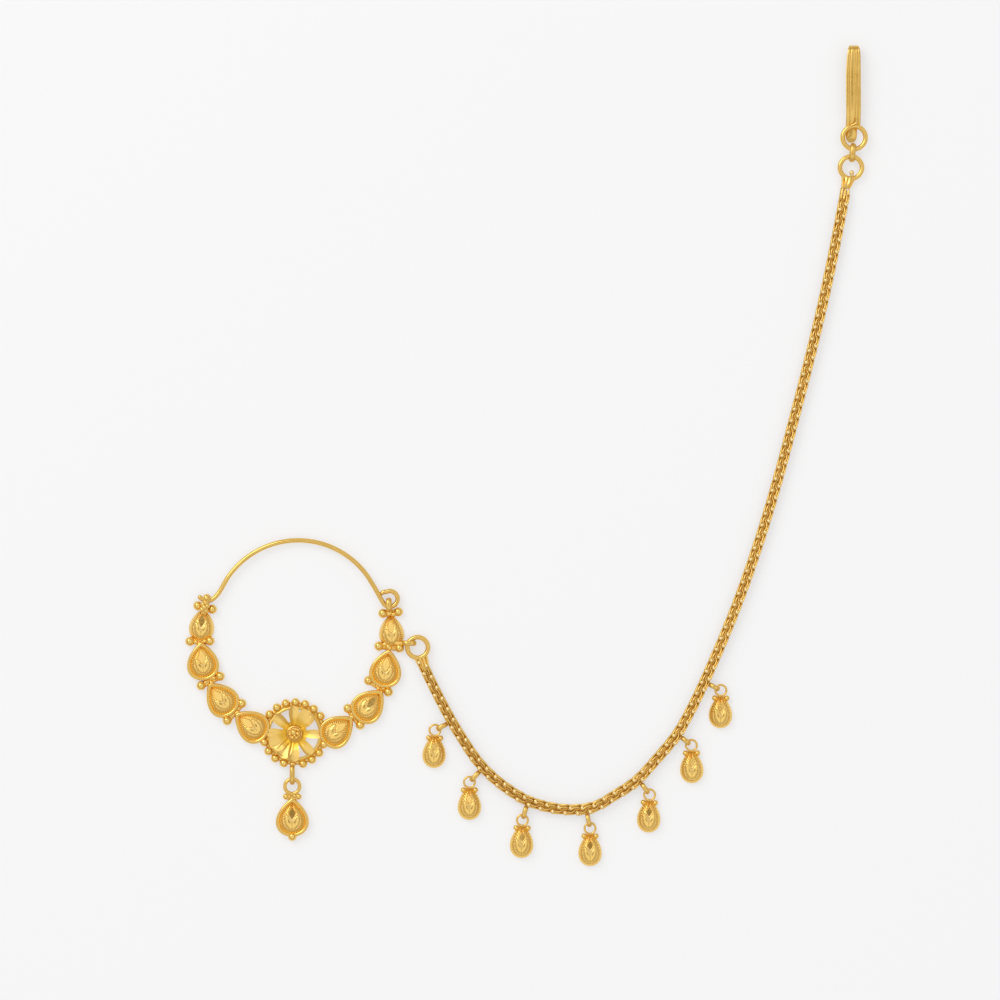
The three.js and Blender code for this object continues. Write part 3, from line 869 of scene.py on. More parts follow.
# %% Granules and plates at the joints
JOINTS = as_rows(
    "at inner outer back ahead skew",
    (161.1, 15.99, 18.67, -0.5, 0.6, -0.42),
    (181.5, 15.5, 19.15, -0.5, 0.5, 0.0),
    (206.3, 15.25, 19.1, -0.5, 0.5, 0.0),
    (229.9, 15.2, 19.3, -0.5, 0.5, 0.0),
    (306.5, 15.6, 19.35, -0.5, 0.5, 0.0),
    (329.9, 15.0, 19.15, -0.5, 0.5, 0.0),
    (354.8, 14.9, 18.65, -0.5, 0.5, 0.0),
    (15.5, 16.2, 19.0, -0.6, 0.5, 0.8),
)
GRANULE = {"across": 1.68, "z": 0.88}
PLATE = {"low": 0.15, "high": 0.85, "wider": 0.2, "corner": 0.4}
GRAINS = {"each": 5, "clear": 0.9, "least": 0.7, "most": 1.15, "z": 0.72, "seed": 7}
CUSHION = {"corner": 0.3, "foot": 0.12, "foot_inset": 0.08, "arc": 5}


def quarter_round(wide, deep, high, steps):
    """Insets and heights of a rounded top edge, from its outside to its top."""
    return [(wide * (1 - math.cos(turn)), high - deep * (1 - math.sin(turn)))
            for turn in np.linspace(0, math.pi / 2, steps)]


def cushion(long, wide, low, high, finish, corner=CUSHION["corner"]):
    """A block with rounded edges, centred on the layout's origin."""
    foot = [(corner, low), (CUSHION["foot_inset"], low + CUSHION["foot"])]
    rings = []
    for inset, z in foot + quarter_round(corner, corner, high, CUSHION["arc"]):
        ring = []
        for i, (sx, sy) in enumerate(((1, 1), (-1, 1), (-1, -1), (1, -1))):
            for turn in np.linspace(i * math.pi / 2, (i + 1) * math.pi / 2, CUSHION["arc"]):
                ring.append((sx * (long / 2 - corner) + (corner - inset) * math.cos(turn),
                             sy * (wide / 2 - corner) + (corner - inset) * math.sin(turn), z))
        rings.append(ring)
    return skin(np.array(rings), finish)


def joint_spot(joint, side):
    """Where the joint's inner or outer granule sits."""
    turn = joint["at"] + joint["skew"] * (1 if side == "inner" else -1)
    return np.array(on_circle(ARC["centre"], joint[side], turn))


def joint_plate(joint):
    wide = joint["ahead"] - joint["back"]
    inner, outer = joint_spot(joint, "inner"), joint_spot(joint, "outer")
    run = outer - inner
    plate = cushion(np.linalg.norm(run), wide + PLATE["wider"], PLATE["low"], PLATE["high"], SOLDER,
                    PLATE["corner"])
    plate = plate.moved(0, (joint["ahead"] + joint["back"]) / 2)
    return plate.turned(heading(run)).moved(*(inner + outer) / 2)


def joint_grains(joint, chance):
    """Grains of solder scattered over a plate, between its two granules."""
    grains = []
    for _ in range(GRAINS["each"]):
        out = chance.uniform(joint["inner"] + GRAINS["clear"], joint["outer"] - GRAINS["clear"])
        ahead = chance.uniform(joint["back"], joint["ahead"])
        x, y = on_circle(ARC["centre"], out, joint["at"] + math.degrees(ahead / out))
        grains.append((x, y, GRAINS["z"], chance.uniform(GRAINS["least"], GRAINS["most"])))
    return grains


make_piece("joint_plates", all_of(joint_plate(joint) for joint in JOINTS))
joint_beads = [
    (*joint_spot(joint, side), GRANULE["z"], GRANULE["across"])
    for joint in JOINTS for side in ("inner", "outer")
]
chance = np.random.default_rng(GRAINS["seed"])
for joint in JOINTS:
    joint_beads += joint_grains(joint, chance)
make_granules("joint_granules", joint_beads)

# %% [markdown]
# The flower is pierced: a ring of band holds leaf-shaped petals cut from sheet, with open gaps
# between some of them, and they sink towards a granulated boss in the middle. Each petal is
# creased along its length, and its two sides curl up by their own amounts, so that one side of it
# catches the light. Their roots meet in a shallow bowl, and their round ends lap over the band.
# The bowl and the inner half of each petal take a deeper gold: painted shade of the light that
# bounces round in that hollow.

# %% Flower
FLOWER = {"x": -0.67, "y": -19.46, "frame": 4.78, "z": 0.85}
PETALS = as_rows(
    "at wide reach crease ahead behind lift",
    (91, 1.85, 5.0, 0.1, 0.5, 0.16, 0.1),
    (54, 3.0, 4.9, -0.25, 0.55, 0.5, 0.0),
    (-1, 1.65, 4.95, 0.1, 0.2, 0.2, 0.04),
    (311, 1.85, 4.85, -0.4, 0.32, 0.3, 0.1),
    (268, 2.1, 5.05, -0.2, 0.16, 0.55, 0.12),
    (239, 2.6, 4.9, -0.2, 0.45, 0.55, -0.06),
    (208, 3.0, 4.9, 0.2, 0.6, 0.5, 0.08),
    (178, 1.7, 5.0, 0.0, 0.3, 0.22, 0.1),
    (137, 2.0, 4.95, -0.1, 0.36, 0.5, 0.0),
)
PETAL = {
    "root": 1.0, "narrow": 0.46, "widest": 0.7, "swell": 1.4, "blunt": 0.93, "round": 2.2,
    "thick": 0.18, "under": 0.95, "curl": 1.25, "steps": 22, "across": 17,
}
PETAL_Z = [(0.0, 0.56), (0.2, 0.66), (0.32, 0.78), (0.45, 0.92), (0.75, 1.08), (1.0, 1.14)]
# How much of the deeper gold a petal takes from root to tip: painted shade near the bowl.
PETAL_PAINTED_SHADE = ([0.0, 0.28, 0.55], [1.0, 0.9, 0.0])
BAND_SECTION = [(-0.42, 0.25), (-0.44, 0.95), (-0.36, 1.16), (-0.22, 1.2), (0.1, 1.08),
                (0.3, 0.9), (0.36, 0.25)]
BOWL_SECTION = [(1.1, 0.26), (1.1, 0.62), (1.5, 0.68), (2.0, 0.79), (2.2, 0.84),
                (2.26, 0.76), (1.8, 0.3)]
WEB_SECTION = [(0.2, 0.22), (0.2, 0.72), (0.55, 0.78), (0.85, 0.6), (0.92, 0.25)]
BOSS_SECTION = [(0.7, 0.3), (1.25, 0.7), (1.4, 1.15), (1.38, 1.32), (1.24, 1.38), (1.08, 1.28),
                (0.8, 1.32), (0.4, 1.44), (0.07, 1.5)]
BOSS_GRANULES = [
    (-0.14, 0.26, 1.68, 1.2), (0.62, 0.02, 1.6, 0.8), (0.4, -0.66, 1.5, 0.78), (-0.32, -0.68, 1.52, 0.74),
    (-0.82, -0.12, 1.5, 0.66), (0.66, 0.66, 1.4, 0.62), (0.06, -0.3, 1.82, 0.6), (-0.7, 0.72, 1.36, 0.56),
]


def petal_width(t):
    """Share of the widest at a place from root to tip: narrow, swelling, then a round end."""
    narrow, widest = PETAL["narrow"], PETAL["widest"]
    if t < widest:
        return narrow + (1 - narrow) * math.sin(t / widest * math.pi / 2) ** PETAL["swell"]
    return math.sqrt(1 - PETAL["blunt"] * ((t - widest) / (1 - widest)) ** PETAL["round"])


def petal(row):
    """A creased leaf of sheet along +X; ahead is its anticlockwise side."""
    across = np.linspace(-1, 1, PETAL["across"])
    ahead = np.clip((across - row["crease"]) / (1 - row["crease"]), 0, 1) ** PETAL["curl"]
    behind = np.clip((row["crease"] - across) / (1 + row["crease"]), 0, 1) ** PETAL["curl"]
    heights = np.array(PETAL_Z)
    rings, sunk = [], []
    for t in np.linspace(0, 1, PETAL["steps"]):
        share = petal_width(t)
        x = np.full(len(across), PETAL["root"] + (row["reach"] - PETAL["root"]) * t)
        y = across * row["wide"] / 2 * share
        z = np.interp(t, heights[:, 0], heights[:, 1]) + row["lift"] * min(1, 2 * t)
        top = z + share * (row["ahead"] * ahead + row["behind"] * behind)
        upper = np.column_stack([x, y, top])
        lower = np.column_stack([x, y * PETAL["under"], top - PETAL["thick"]])[::-1]
        rings.append(np.vstack([upper, lower]))
        sunk.append(np.full(2 * len(across), np.interp(t, *PETAL_PAINTED_SHADE)))
    return skin(np.array(rings), PETAL_GOLD, sunk=np.array(sunk)).turned(row["at"])


HOOP_STEPS = 96


def hoop_of(section, finish, radius=0.0, around=True, sunk=0.0):
    """A section of outward places and heights, carried round the flower's centre."""
    rings = np.array([ring_path(radius + out, HOOP_STEPS, z) for out, z in section])
    return skin(rings, finish, around, np.full(rings.shape[:2], sunk))


flower_form = all_of([
    hoop_of(BAND_SECTION, SATIN, FLOWER["frame"]),
    hoop_of(WEB_SECTION, SOLDER, FLOWER["frame"]),
    # The bowl is wholly in the deeper gold: painted shade.
    hoop_of(BOWL_SECTION, PETAL_GOLD, sunk=1.0),
    hoop_of(BOSS_SECTION, SATIN, around=False),
    *(petal(row) for row in PETALS),
])
make_piece("pierced_flower", flower_form.moved(FLOWER["x"], FLOWER["y"]))

# %% Granules round the flower and on its boss
FRAME_BEAD = {"across": 1.56, "ring": 5.65, "places": 20, "first": -92, "bare": (0, 5, 6, 14, 15)}


def flower_granules():
    centre = (FLOWER["x"], FLOWER["y"])
    beads = []
    for i in range(FRAME_BEAD["places"]):
        if i not in FRAME_BEAD["bare"]:
            turn = FRAME_BEAD["first"] + i * 360 / FRAME_BEAD["places"]
            beads.append((*on_circle(centre, FRAME_BEAD["ring"], turn), FLOWER["z"], FRAME_BEAD["across"]))
    for x, y, z, across in BOSS_GRANULES:
        beads.append((centre[0] + x, centre[1] + y, z, across))
    return beads


make_granules("flower_granules", flower_granules())

# %% [markdown]
# What hangs or hinges is held by eyes: short lengths of half-round strip bent to an upright oval,
# so a ring that lies flat can pass through. The flat side of the strip faces into the hole. The
# catch is made of strip as well: a fork, open at its tip, that the nose wire's tail lies in.

# %% Strip eyes
EYE_SQUARENESS = 2.5
EYE_STEPS = 56
EYE_FOOT = 0.1
STRIP_SECTION = [(-0.5, 0.4), (-0.5, -0.4)] + [
    (-0.22 + 0.72 * math.sin(turn), -0.5 * math.cos(turn)) for turn in np.linspace(0, math.pi, 11)
]


def swell(value):
    """A cosine or a sine, pulled out towards a square."""
    return np.sign(value) * np.abs(value) ** (2 / EYE_SQUARENESS)


def strip_eye(length, height, thick, wide, steps=EYE_STEPS):
    """An upright oval of strip round its own centre, long along X, its hole facing Y."""
    turn = np.arange(steps) * 2 * math.pi / steps
    x = (length - thick) / 2 * swell(np.cos(turn))
    z = (height - thick) / 2 * swell(np.sin(turn))
    path = even_steps(np.column_stack([x, np.zeros(steps), z])[list(range(steps)) + [0]], steps, True)
    ways = ways_along(path, True)
    out = np.cross(ways, np.array([0.0, 1.0, 0.0]))
    if np.sum(out * path) < 0:
        out = -out
    section = np.array(STRIP_SECTION)
    rings = path[:, None] + section[None, :, :1] * thick * out[:, None]
    rings[:, :, 1] += section[None, :, 1] * wide
    return skin(rings, SATIN, around=True)


def placed_eye(eye, steps=EYE_STEPS):
    """A strip eye that stands on its foot at its own place."""
    form = strip_eye(*eye["size"], steps).turned(eye["turn"])
    return form.moved(eye["x"], eye["y"], EYE_FOOT + eye["size"][1] / 2)


EYES = {
    "hinge": {"x": 16.31, "y": 3.675, "turn": 90, "size": (2.65, 2.1, 0.42, 1.04)},
    "side": {"x": 19.96, "y": -3.19, "turn": 0, "size": (2.65, 2.0, 0.38, 0.94)},
    "stem": {"x": -1.06, "y": -26.86, "turn": 90, "size": (3.6, 2.0, 0.4, 0.88)},
}
PADS = [
    {"x": 18.1, "y": -3.2, "size": (2.0, 0.9, 0.3, 1.4)},
    {"x": -1.0, "y": -24.95, "size": (1.1, 1.0, 0.3, 1.3)},
]
PAD_CORNER = 0.44


def pad(row):
    return cushion(*row["size"], SOLDER, PAD_CORNER).moved(row["x"], row["y"])


# %% Catch for the wire's tail
CATCH = {
    "turn": 79, "wide": 1.3, "root": -0.55, "tip": 2.45, "web": 0.5, "low": 0.08, "strip": 0.42,
    "gap": 1.35, "above": 0.2, "ball": 1.32, "ball_up": 0.02,
}
CROWN = {"under": 0.15, "upper": 0.36, "short": 0.04, "foot": 0.08, "foot_inset": 0.1}
CATCH_STEPS = {"crown": 8, "end": 15, "ball": 13, "ball_sides": 20}
CATCH_GRAINS = [
    (-0.5, -0.34, 1.72, 1.0), (-0.42, 0.36, 1.7, 1.04), (0.02, 0.02, 1.95, 1.06), (0.36, -0.44, 1.86, 0.96),
    (0.5, 0.4, 1.88, 0.98), (0.88, -0.02, 1.98, 0.9), (-0.92, 0.02, 1.3, 1.05),
]


def round_ended(low, high, crown):
    """A strip with one round end and a crowned top, from the catch's root to its tip."""
    half = CATCH["wide"] / 2
    reach = CATCH["tip"] - half
    rings = []
    foot = [(CROWN["foot_inset"], low), (0.0, low + CROWN["foot"])]
    for inset, z in foot + quarter_round(half - CROWN["short"], crown, high, CATCH_STEPS["crown"]):
        arc = [(reach + (half - inset) * math.cos(turn), (half - inset) * math.sin(turn), z)
               for turn in np.linspace(-math.pi / 2, math.pi / 2, CATCH_STEPS["end"])]
        rings.append([(CATCH["root"], -half + inset, z), *arc, (CATCH["root"], half - inset, z)])
    return skin(np.array(rings), SATIN)


def catch_ball(z):
    half = CATCH["ball"] / 2
    path = np.array([[0, 0, up] for up in np.linspace(-half, half, CATCH_STEPS["ball"])])
    ball = wire(path, CATCH["ball"], POLISHED, CATCH_STEPS["ball_sides"], ends=half)
    return ball.moved(CATCH["tip"] - half, 0, z)


def catch(root):
    """A fork that the wire's tail lies in, open at its tip, with a ball on its end."""
    upper = CATCH["low"] + CATCH["strip"] + CATCH["gap"]
    wall = cushion(CATCH["web"] - CATCH["root"], CATCH["wide"], CATCH["low"], upper + CATCH["above"],
                   SATIN, corner=0.1)
    return all_of([
        round_ended(CATCH["low"], CATCH["low"] + CATCH["strip"], CROWN["under"]),
        round_ended(upper, upper + CATCH["strip"], CROWN["upper"]),
        wall.moved((CATCH["web"] + CATCH["root"]) / 2),
        catch_ball(upper + CATCH["ball_up"]),
    ]).turned(CATCH["turn"]).moved(*root)


catch_root = on_circle(ARC["centre"], ARC["radius"], JOINTS[0]["at"])
catch_grains = [
    (*on_circle(catch_root, x, CATCH["turn"], y), z, across) for x, y, z, across in CATCH_GRAINS
]
make_granules("catch_granules", catch_grains)
eyes = [placed_eye(eye) for eye in EYES.values()]
make_piece("eyes_and_catch", all_of([catch(catch_root), *eyes, *(pad(row) for row in PADS)]))

# %% [markdown]
# The pendant repeats the setting on a larger pear: a ring of wire, a collar with two granules, the
# rimmed dome, and one granule at the foot.

# %% Pendant
PENDANT = {"x": -1.06, "y": -28.93, "ring": 1.32, "wire": 0.7, "z": 1.15, "steps": 56}
PENDANT_PEAR = {"wide": 5.95, "long": 7.05, "point": 0.7, "diamond": (0.36, 0.27)}
PENDANT_COLLAR = {"size": (2.2, 1.3, 0.3, 1.3), "drop": 1.75}
PENDANT_DROP = {"pear": 5.55, "lean": (0.0, -0.02)}
PENDANT_BEADS = [
    (-1.15, -1.85, GRANULE["z"], 1.1), (1.15, -1.85, GRANULE["z"], 1.1),
    (-0.5, -1.85, 1.15, 0.7), (0.45, -1.75, 1.12, 0.75), (0.0, -9.05, GRANULE["z"], 1.58),
]


def pendant():
    ring = wire_ring(PENDANT["ring"], PENDANT["wire"], PENDANT["z"], PENDANT["steps"])
    collar = cushion(*PENDANT_COLLAR["size"], SOLDER).moved(0, -PENDANT_COLLAR["drop"])
    face = dome(PENDANT_PEAR, **FRAMED_DOME, lean=PENDANT_DROP["lean"])
    pear = (rim(PENDANT_PEAR) + face).turned(90).moved(0, -PENDANT_DROP["pear"])
    return all_of([ring, collar, pear]).moved(PENDANT["x"], PENDANT["y"])


make_piece("pendant", pendant(), ["pendant_drop"])
make_granules("pendant_granules", [
    (PENDANT["x"] + x, PENDANT["y"] + y, z, across) for x, y, z, across in PENDANT_BEADS
])

# %% [markdown]
# The chain is loop-in-loop work, one of the oldest ways of making a cord of gold. Each link is a
# ring of wire pulled long and folded in the middle, and its two ends stand at opposite corners of
# the cord, each a tight bend. The next link is folded through it the other way round. Seen from
# above, the bends make two rows of bright dots, one row half a step behind the other: each is
# drawn as a low bead in a pale gold, a painted highlight, and the strands between them fill the
# cord. Two links, each other's mirror image, are drawn once, and Geometry Nodes lay them along the
# route in turn. The folds of the wire pack the cord's heart, and three plain strands along it
# stand for them.

# %% The chain's route
CHAIN_Z = 0.98
CHAIN_ROUTE = [
    (22.72, -7.61), (24.14, -10.6), (26.62, -15.43), (29.36, -20.11), (32.78, -24.97),
    (36.47, -28.48), (40.97, -31.32), (44.57, -32.53), (48.17, -33.07), (51.77, -32.89),
    (54.38, -32.08), (56.63, -30.73), (60.86, -27.85), (64.73, -23.71), (68.15, -19.48),
    (70.85, -14.71), (75.35, -4.93), (79.4, 5.09), (82.96, 15.35), (86.08, 25.7),
    (88.9, 36.14), (91.62, 46.64), (94.16, 57.15), (96.41, 67.7), (98.44, 78.26), (98.6, 79.16),
]
route = smooth_path([(x, y, CHAIN_Z) for x, y in CHAIN_ROUTE], 1400)
CHAIN_LENGTH = path_length(route)
print("chain", round(CHAIN_LENGTH, 1), "mm")

# %% One folded link
LINK = {
    "wire": 0.29, "loop": 0.31, "loop_x": 0.48, "loop_y": 0.7, "loop_z": 1.36, "steps": 48, "sides": 5,
}
BEND_TURNS = (-20, 30, 90, 150, 200)
BEAD_SIDES = 7
BEAD_PROFILE = [(0.24, 0.66), (0.28, 0.8), (0.17, 0.85), (0.06, 0.875)]
LINK_OUT = [(0.02, -0.05, -0.95), (0.2, 0.0, -0.8), (0.5, 0.08, -0.7), (0.74, 0.18, -0.5),
            (0.79, 0.34, -0.14), (0.79, 0.52, 0.38), (0.77, 0.64, 0.86)]
LINK_BACK = [(0.46, 0.74, 0.84), (0.44, 0.68, 0.4), (0.42, 0.6, 0.0), (0.24, 0.46, -0.3), (0.0, 0.3, -0.44)]
CHAIN_PITCH = 1.08


def half_link():
    """The wire's path from the fold out to one bend and back: across, up, along."""
    loop = [
        (LINK["loop_x"] + LINK["loop"] * math.cos(turn), LINK["loop_y"],
         LINK["loop_z"] + LINK["loop"] * math.sin(turn))
        for turn in np.radians(BEND_TURNS)
    ]
    return LINK_OUT + loop + LINK_BACK


def link_bead(side, way=1, along=0.0):
    """A low blunt cone of a bead in a bend of a link; way is 1 for the upper one, -1 for the lower."""
    rings = []
    for radius, up in BEAD_PROFILE:
        ring = circle_points(BEAD_SIDES, radius)
        rings.append([
            (side * way * LINK["loop_x"] + x, way * up, LINK["loop_z"] + along + z) for x, z in ring
        ])
    bead = skin(np.array(rings), DRAWN)
    # The whole bead takes the pale gold: a painted highlight on the bend.
    bead.sunk[:] = 1.0
    return bead


def folded_link(side):
    """A closed loop of wire folded at 0, with its ends along +Z; side mirrors it."""
    under = [(-x, -y, z + CHAIN_PITCH) for x, y, z in half_link()]
    path = smooth_path([(side * x, y, z) for x, y, z in half_link() + under], LINK["steps"], True)
    loop = wire(path, LINK["wire"], DRAWN, LINK["sides"], True)
    return loop + link_bead(side) + link_bead(side, -1, CHAIN_PITCH)


# %% A tree that lays links along a path
def chain_tree():
    tree, given = start_tree("woven_links", {
        "Link": "Object", "Mirrored link": "Object", "Pitch": "Float", "Finish": "Material",
    })
    upright = add_node(tree, "SetCurveNormal", {"Curve": given["Geometry"]}, mode="Z_UP")
    points = add_node(tree, "CurveToPoints", {
        "Curve": upright["Curve"], "Length": given["Pitch"],
    }, mode="LENGTH")
    both = tree.nodes.new("GeometryNodeJoinGeometry")
    for name in ("Link", "Mirrored link"):
        link = add_node(tree, "ObjectInfo", {"Object": given[name]})
        single = add_node(tree, "GeometryToInstance", {"Geometry": link["Geometry"]})
        tree.links.new(single["Instances"], both.inputs["Geometry"])
    place = add_node(tree, "InstanceOnPoints", {
        "Points": points["Points"],
        "Instance": both.outputs["Geometry"],
        "Pick Instance": True,
        "Instance Index": add_node(tree, "InputIndex", {})["Index"],
        "Rotation": points["Rotation"],
    })
    return end_tree(tree, given, place["Instances"])


# %% Lay the chain
CHAIN_TAIL = 1.3
CHAIN_LEAD = -0.1
HEART = {"strands": [(0.0, 0.6), (-0.56, 0.4), (0.56, 0.4)], "every": 5, "sides": 8, "tip": 0.3}


def route_curve(path):
    curve = bpy.data.curves.new("chain_route", "CURVE")
    curve.dimensions = "3D"
    spline = curve.splines.new("POLY")
    spline.points.add(len(path) - 1)
    for place, point in zip(spline.points, (path + SHIFT) * MM):
        place.co = (*point, 1)
    return add_object("chain_route", curve)


def link_pattern(side):
    form = folded_link(side)
    mesh = plain_mesh("link_pattern", form.points * MM, form.faces)
    write_values(mesh, "sunk", form.sunk)
    return add_object("link_pattern", mesh)


def make_chain():
    patterns = [link_pattern(side) for side in (1, -1)]
    last = int(CHAIN_TAIL / CHAIN_LENGTH * len(route))
    lead = route[-1] + (route[-1] - route[-2]) / np.linalg.norm(route[-1] - route[-2]) * CHAIN_LEAD
    holder = route_curve(np.vstack([lead, route[::-1][:-last]]))
    mesh = evaluated_mesh(holder, chain_tree(), {
        "Link": patterns[0], "Mirrored link": patterns[1], "Pitch": CHAIN_PITCH * MM, "Finish": DRAWN,
    })
    for pattern in patterns:
        bpy.data.objects.remove(pattern)
    print("woven chain", len(mesh.polygons), "faces")
    link_piece("woven_links", mesh, ["woven_chain"], "nose_ring")


def chain_heart():
    """Plain strands inside the links, each given as its place aside and its thickness."""
    middle = route[::HEART["every"]]
    aside = np.cross(ways_along(middle, False), (0, 0, 1))
    return all_of(wire(middle + aside * off, across, SATIN, HEART["sides"], ends=HEART["tip"])
                  for off, across in HEART["strands"])


make_chain()
make_piece("chain_heart", chain_heart())

# %% [markdown]
# At each end the chain's last wires are drawn out in a fan and soldered to a ring.

# %% Rings at the ends of the chain
RING_WIRE = 0.88
NOSE_RING = {"x": 21.49, "y": -3.96, "radius": 1.85}
HAIR_RING = {"x": 99.38, "y": 82.31, "radius": 1.98}
FAN = {"wire": 0.62, "near": 0.95, "far": 0.6, "high": 0.42, "into": 0.5}
FAN_STRANDS = [(-1.0, 0.0), (-0.36, 0.9), (0.36, 0.9), (1.0, 0.0), (-0.5, -0.9), (0.5, -0.9), (0.0, 0.0)]


def fan_to(ring, chain_end):
    """Strands of wire from the ring to the chain's first links."""
    way = chain_end - np.array([ring["x"], ring["y"], chain_end[2]])
    length = np.linalg.norm(way)
    strands = []
    for aside, above in FAN_STRANDS:
        points = [
            (ring["radius"] + 0.05 - 0.12 * abs(aside), aside * FAN["near"], CHAIN_Z + above * FAN["high"]),
            ((ring["radius"] + length) / 2, aside * (FAN["near"] + FAN["far"]) / 2 + 0.06 * above,
             CHAIN_Z + above * FAN["high"] * 1.15),
            (length, aside * FAN["far"], CHAIN_Z + above * FAN["high"]),
            (length + FAN["into"], aside * FAN["far"] * 0.8, CHAIN_Z + above * FAN["high"] * 0.7),
        ]
        strands.append(wire(smooth_path(points, 14), FAN["wire"], POLISHED, 8))
    return all_of(strands).turned(heading(way)).moved(ring["x"], ring["y"])


def end_ring(ring, chain_end):
    band = wire_ring(ring["radius"], RING_WIRE, WIRE_Z)
    return band.moved(ring["x"], ring["y"]) + fan_to(ring, chain_end)


make_piece("nose_end_ring", end_ring(NOSE_RING, route[0]), ["nose_side_ring"])
make_piece("hair_end_ring", end_ring(HAIR_RING, route[-1]), ["hair_side_ring"])

# %% [markdown]
# Seven small drops hang along the lower half of the chain, each from an eye soldered to it. They
# are alike but for the way that they lie, so one function makes each in its place.

# %% Small drops
DROPS = as_rows(
    "along eye_turn reach hang lean",
    (10.8, -152, 3.44, -92, (-0.1, 0.1)),
    (20.86, -133, 3.65, -90, (-0.16, 0.14)),
    (30.95, -106, 3.69, -92, (-0.06, -0.1)),
    (41.59, -78.5, 3.67, -90, (0.0, 0.02)),
    (52.48, -54.5, 3.52, -92, (0.03, 0.0)),
    (63.2, -39, 3.3, -89, (-0.05, 0.1)),
    (73.8, -28, 3.36, -91, (-0.1, 0.06)),
)
DROP_RING = {"radius": 0.98, "across": 0.4, "z": 0.95, "steps": 40, "sides": 10}
DROP_EYE = {"height": 1.9, "thick": 0.35, "wide": 0.84, "from_chain": 0.9, "short_of_ring": 0.25, "steps": 44}
DROP_PEAR = {"wide": 4.2, "long": 6.0, "point": 0.62, "diamond": (0.26, 0.25)}
DROP_COLLAR = {"size": (0.6, 1.8, 0.15, 0.5), "drop": 1.34}
DROP_GRANULE = {"across": 1.02, "side": 1.08, "drop": 1.4, "z": 0.74}
DROP_HANG = 3.8
DROP_DOME = {"inset": 0.0, "edge_z": 0.76, "rise": 1.14}


def small_drop(drop):
    collar = cushion(*DROP_COLLAR["size"], SOLDER).moved(DROP_COLLAR["drop"])
    body = dome(DROP_PEAR, **DROP_DOME, lean=drop["lean"], count=PEAR_POINTS)
    return all_of([wire_ring(**DROP_RING), collar, body.turned(180).moved(DROP_HANG)])


def drop_eye(drop, station):
    """The eye between the chain and the drop's ring."""
    near, far = DROP_EYE["from_chain"], drop["reach"] - DROP_EYE["short_of_ring"]
    x, y = on_circle(station, (near + far) / 2, drop["eye_turn"])
    size = (far - near, DROP_EYE["height"], DROP_EYE["thick"], DROP_EYE["wide"])
    return placed_eye({"x": x, "y": y, "turn": drop["eye_turn"], "size": size}, DROP_EYE["steps"])


drop_beads = []
for number, drop in enumerate(DROPS, 1):
    station = at_distance(route, drop["along"])
    ring_at = on_circle(station, drop["reach"], drop["eye_turn"])
    make_piece(f"strip_eye_{number}", drop_eye(drop, station), [f"drop_eye_{number}"])
    hung = small_drop(drop).turned(drop["hang"]).moved(*ring_at)
    make_piece(f"hanging_drop_{number}", hung, [f"small_drop_{number}"])
    for side in (-1, 1):
        spot = on_circle(ring_at, DROP_GRANULE["drop"], drop["hang"], side * DROP_GRANULE["side"])
        drop_beads.append((*spot, DROP_GRANULE["z"], DROP_GRANULE["across"]))
make_granules("drop_granules", drop_beads)

# %% [markdown]
# The hair hook is one ribbed strip bent in a long U. Its front leg shows four rounded ribs, and
# a ring is soldered on where the front leg ends. The back leg ends in a tongue behind the ring.

# %% Hair hook
HOOK_RING = {"x": 99.93, "y": 87.68, "radius": 2.06, "across": 0.88, "z": 1.45}
HOOK = {
    "strip": 0.6, "back": 0.33, "front": 2.28, "top": 104.27, "x": 99.84, "bend": 1.6, "shoulder": 2.25,
    "bend_steps": 13,
}
HOOK_BACK_RUN = [
    (86.85, 0.33, 99.47, 0.4), (86.93, 0.33, 99.47, 1.0), (87.15, 0.33, 99.47, 1.48),
    (87.5, 0.33, 99.47, 1.82), (88.1, 0.33, 99.47, 2.0), (92, 0.33, 99.6, 2.05),
    (96, 0.33, 99.7, 2.1), (101.5, 0.33, 99.85, 1.95),
]
HOOK_FRONT_RUN = [
    (102.2, 2.28, 99.81, 2.42), (101.3, 2.28, 99.78, 2.53), (99.8, 2.28, 99.74, 2.62),
    (98, 2.28, 99.73, 2.68), (94, 2.28, 99.75, 2.66), (92, 1.95, 99.78, 2.6),
    (90.9, 1.6, 99.8, 2.55), (90, 1.3, 99.82, 2.5),
]
RIBS = [(-0.5, -0.26), (-0.24, 0.1), (0.12, 0.3), (0.32, 0.5)]
RIB = {"foot": 0.28, "rise": 0.22, "round": 0.6, "points": 9}
STRIP_BACK = [(0.5, -0.3), (0.42, -0.5), (-0.42, -0.5), (-0.5, -0.3)]


def ribbed_section():
    """The strip's section, as places across its width and out from its middle."""
    section = []
    for left, right in RIBS:
        middle, half = (left + right) / 2, (right - left) / 2
        for turn in np.linspace(math.pi, 0, RIB["points"]):
            out = RIB["foot"] + RIB["rise"] * abs(math.sin(turn)) ** RIB["round"]
            section.append((middle + half * math.cos(turn), out))
    return np.array(section + STRIP_BACK)


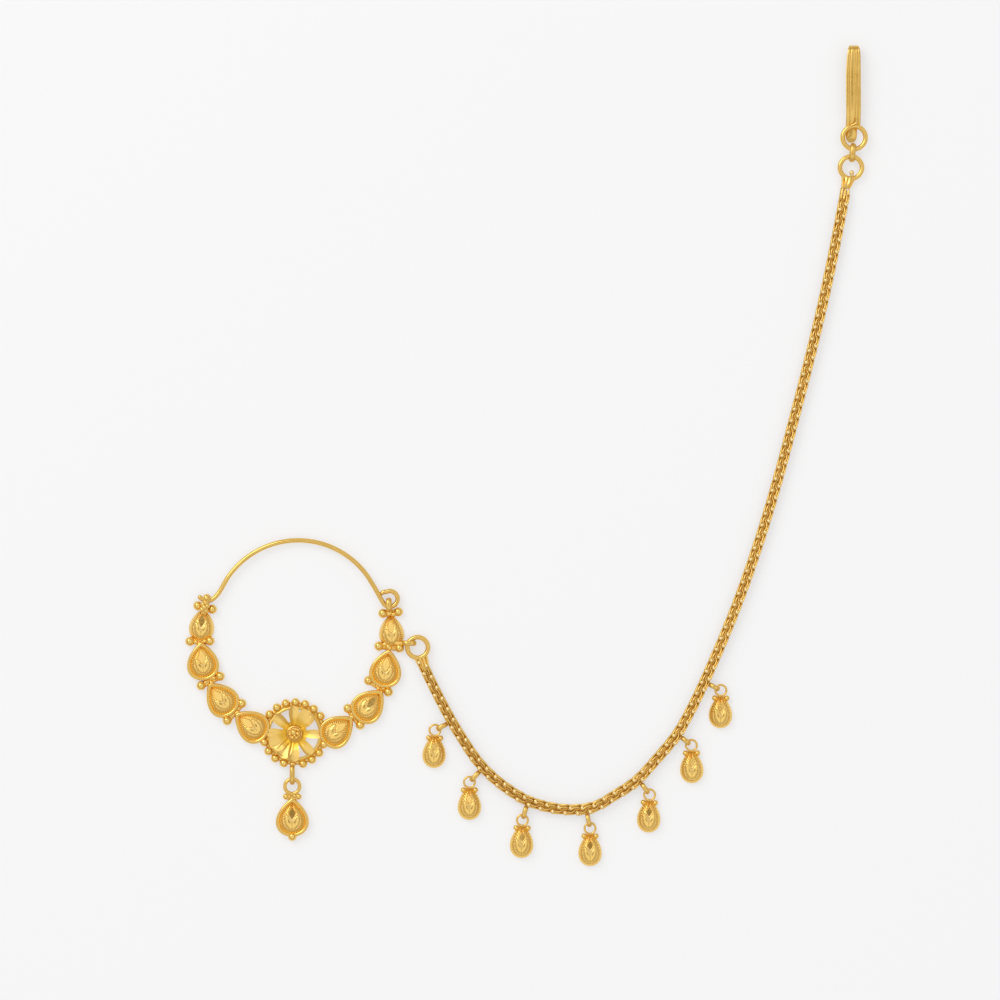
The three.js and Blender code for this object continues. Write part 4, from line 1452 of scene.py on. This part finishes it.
def hook_run():
    """Places along the strip: y, z, x and the strip's width, up the back and down the front."""
    bend = (HOOK["front"] - HOOK["back"]) / 2
    bend_y = HOOK["top"] - HOOK["strip"] / 2 - bend
    over = []
    for turn in np.linspace(-math.pi / 2, math.pi / 2, HOOK["bend_steps"]):
        wide = HOOK["bend"] + (HOOK["shoulder"] - HOOK["bend"]) * max(math.sin(turn), 0) ** 2
        y, z = bend_y + bend * math.cos(turn), HOOK["back"] + bend + bend * math.sin(turn)
        over.append((y, z, HOOK["x"], wide))
    return np.array(HOOK_BACK_RUN + over + HOOK_FRONT_RUN)


def hook_strip():
    run = hook_run()
    path = np.column_stack([run[:, 2], run[:, 0], run[:, 1]])
    section = ribbed_section()
    rings = []
    for place, way, wide in zip(path, ways_along(path, False), run[:, 3]):
        out = np.array([0.0, way[2], -way[1]])
        out /= np.linalg.norm(out)
        across = section[:, :1] * wide * np.array([1.0, 0, 0])
        rings.append(place + across + section[:, 1:] * HOOK["strip"] * out)
    return skin(np.array(rings), SATIN)


SEAM = {"across": 0.26, "steps": 18, "sides": 8, "tip": 0.15}
SEAM_PATH = [
    (99.3, 89.75, 1.95), (99.75, 89.95, 2.1), (100.1, 90.2, 2.15), (100.25, 90.6, 2.2), (100.15, 91.0, 2.25),
]


def solder_seam():
    """The small curl of solder where the front leg meets its ring."""
    path = smooth_path(SEAM_PATH, SEAM["steps"])
    return wire(path, SEAM["across"], SATIN, SEAM["sides"], ends=SEAM["tip"])


hook_band = wire_ring(HOOK_RING["radius"], HOOK_RING["across"], HOOK_RING["z"])
hook_band = hook_band.moved(HOOK_RING["x"], HOOK_RING["y"])
make_piece("ribbed_hook", all_of([hook_strip(), hook_band, solder_seam()]), ["hair_hook"])

# %% Link between the hook's ring and the chain's ring
JOIN = {"from": 0.98, "to": 4.46, "height": 2.36, "thick": 0.42, "wide": 1.02, "z": 1.3}


def joining_link():
    way = (HAIR_RING["x"] - HOOK_RING["x"], HAIR_RING["y"] - HOOK_RING["y"])
    link = strip_eye(JOIN["to"] - JOIN["from"], JOIN["height"], JOIN["thick"], JOIN["wide"])
    link = link.moved((JOIN["from"] + JOIN["to"]) / 2, 0, JOIN["z"])
    return link.turned(heading(way)).moved(HOOK_RING["x"], HOOK_RING["y"])


make_piece("joining_link", joining_link(), ["connecting_link"])
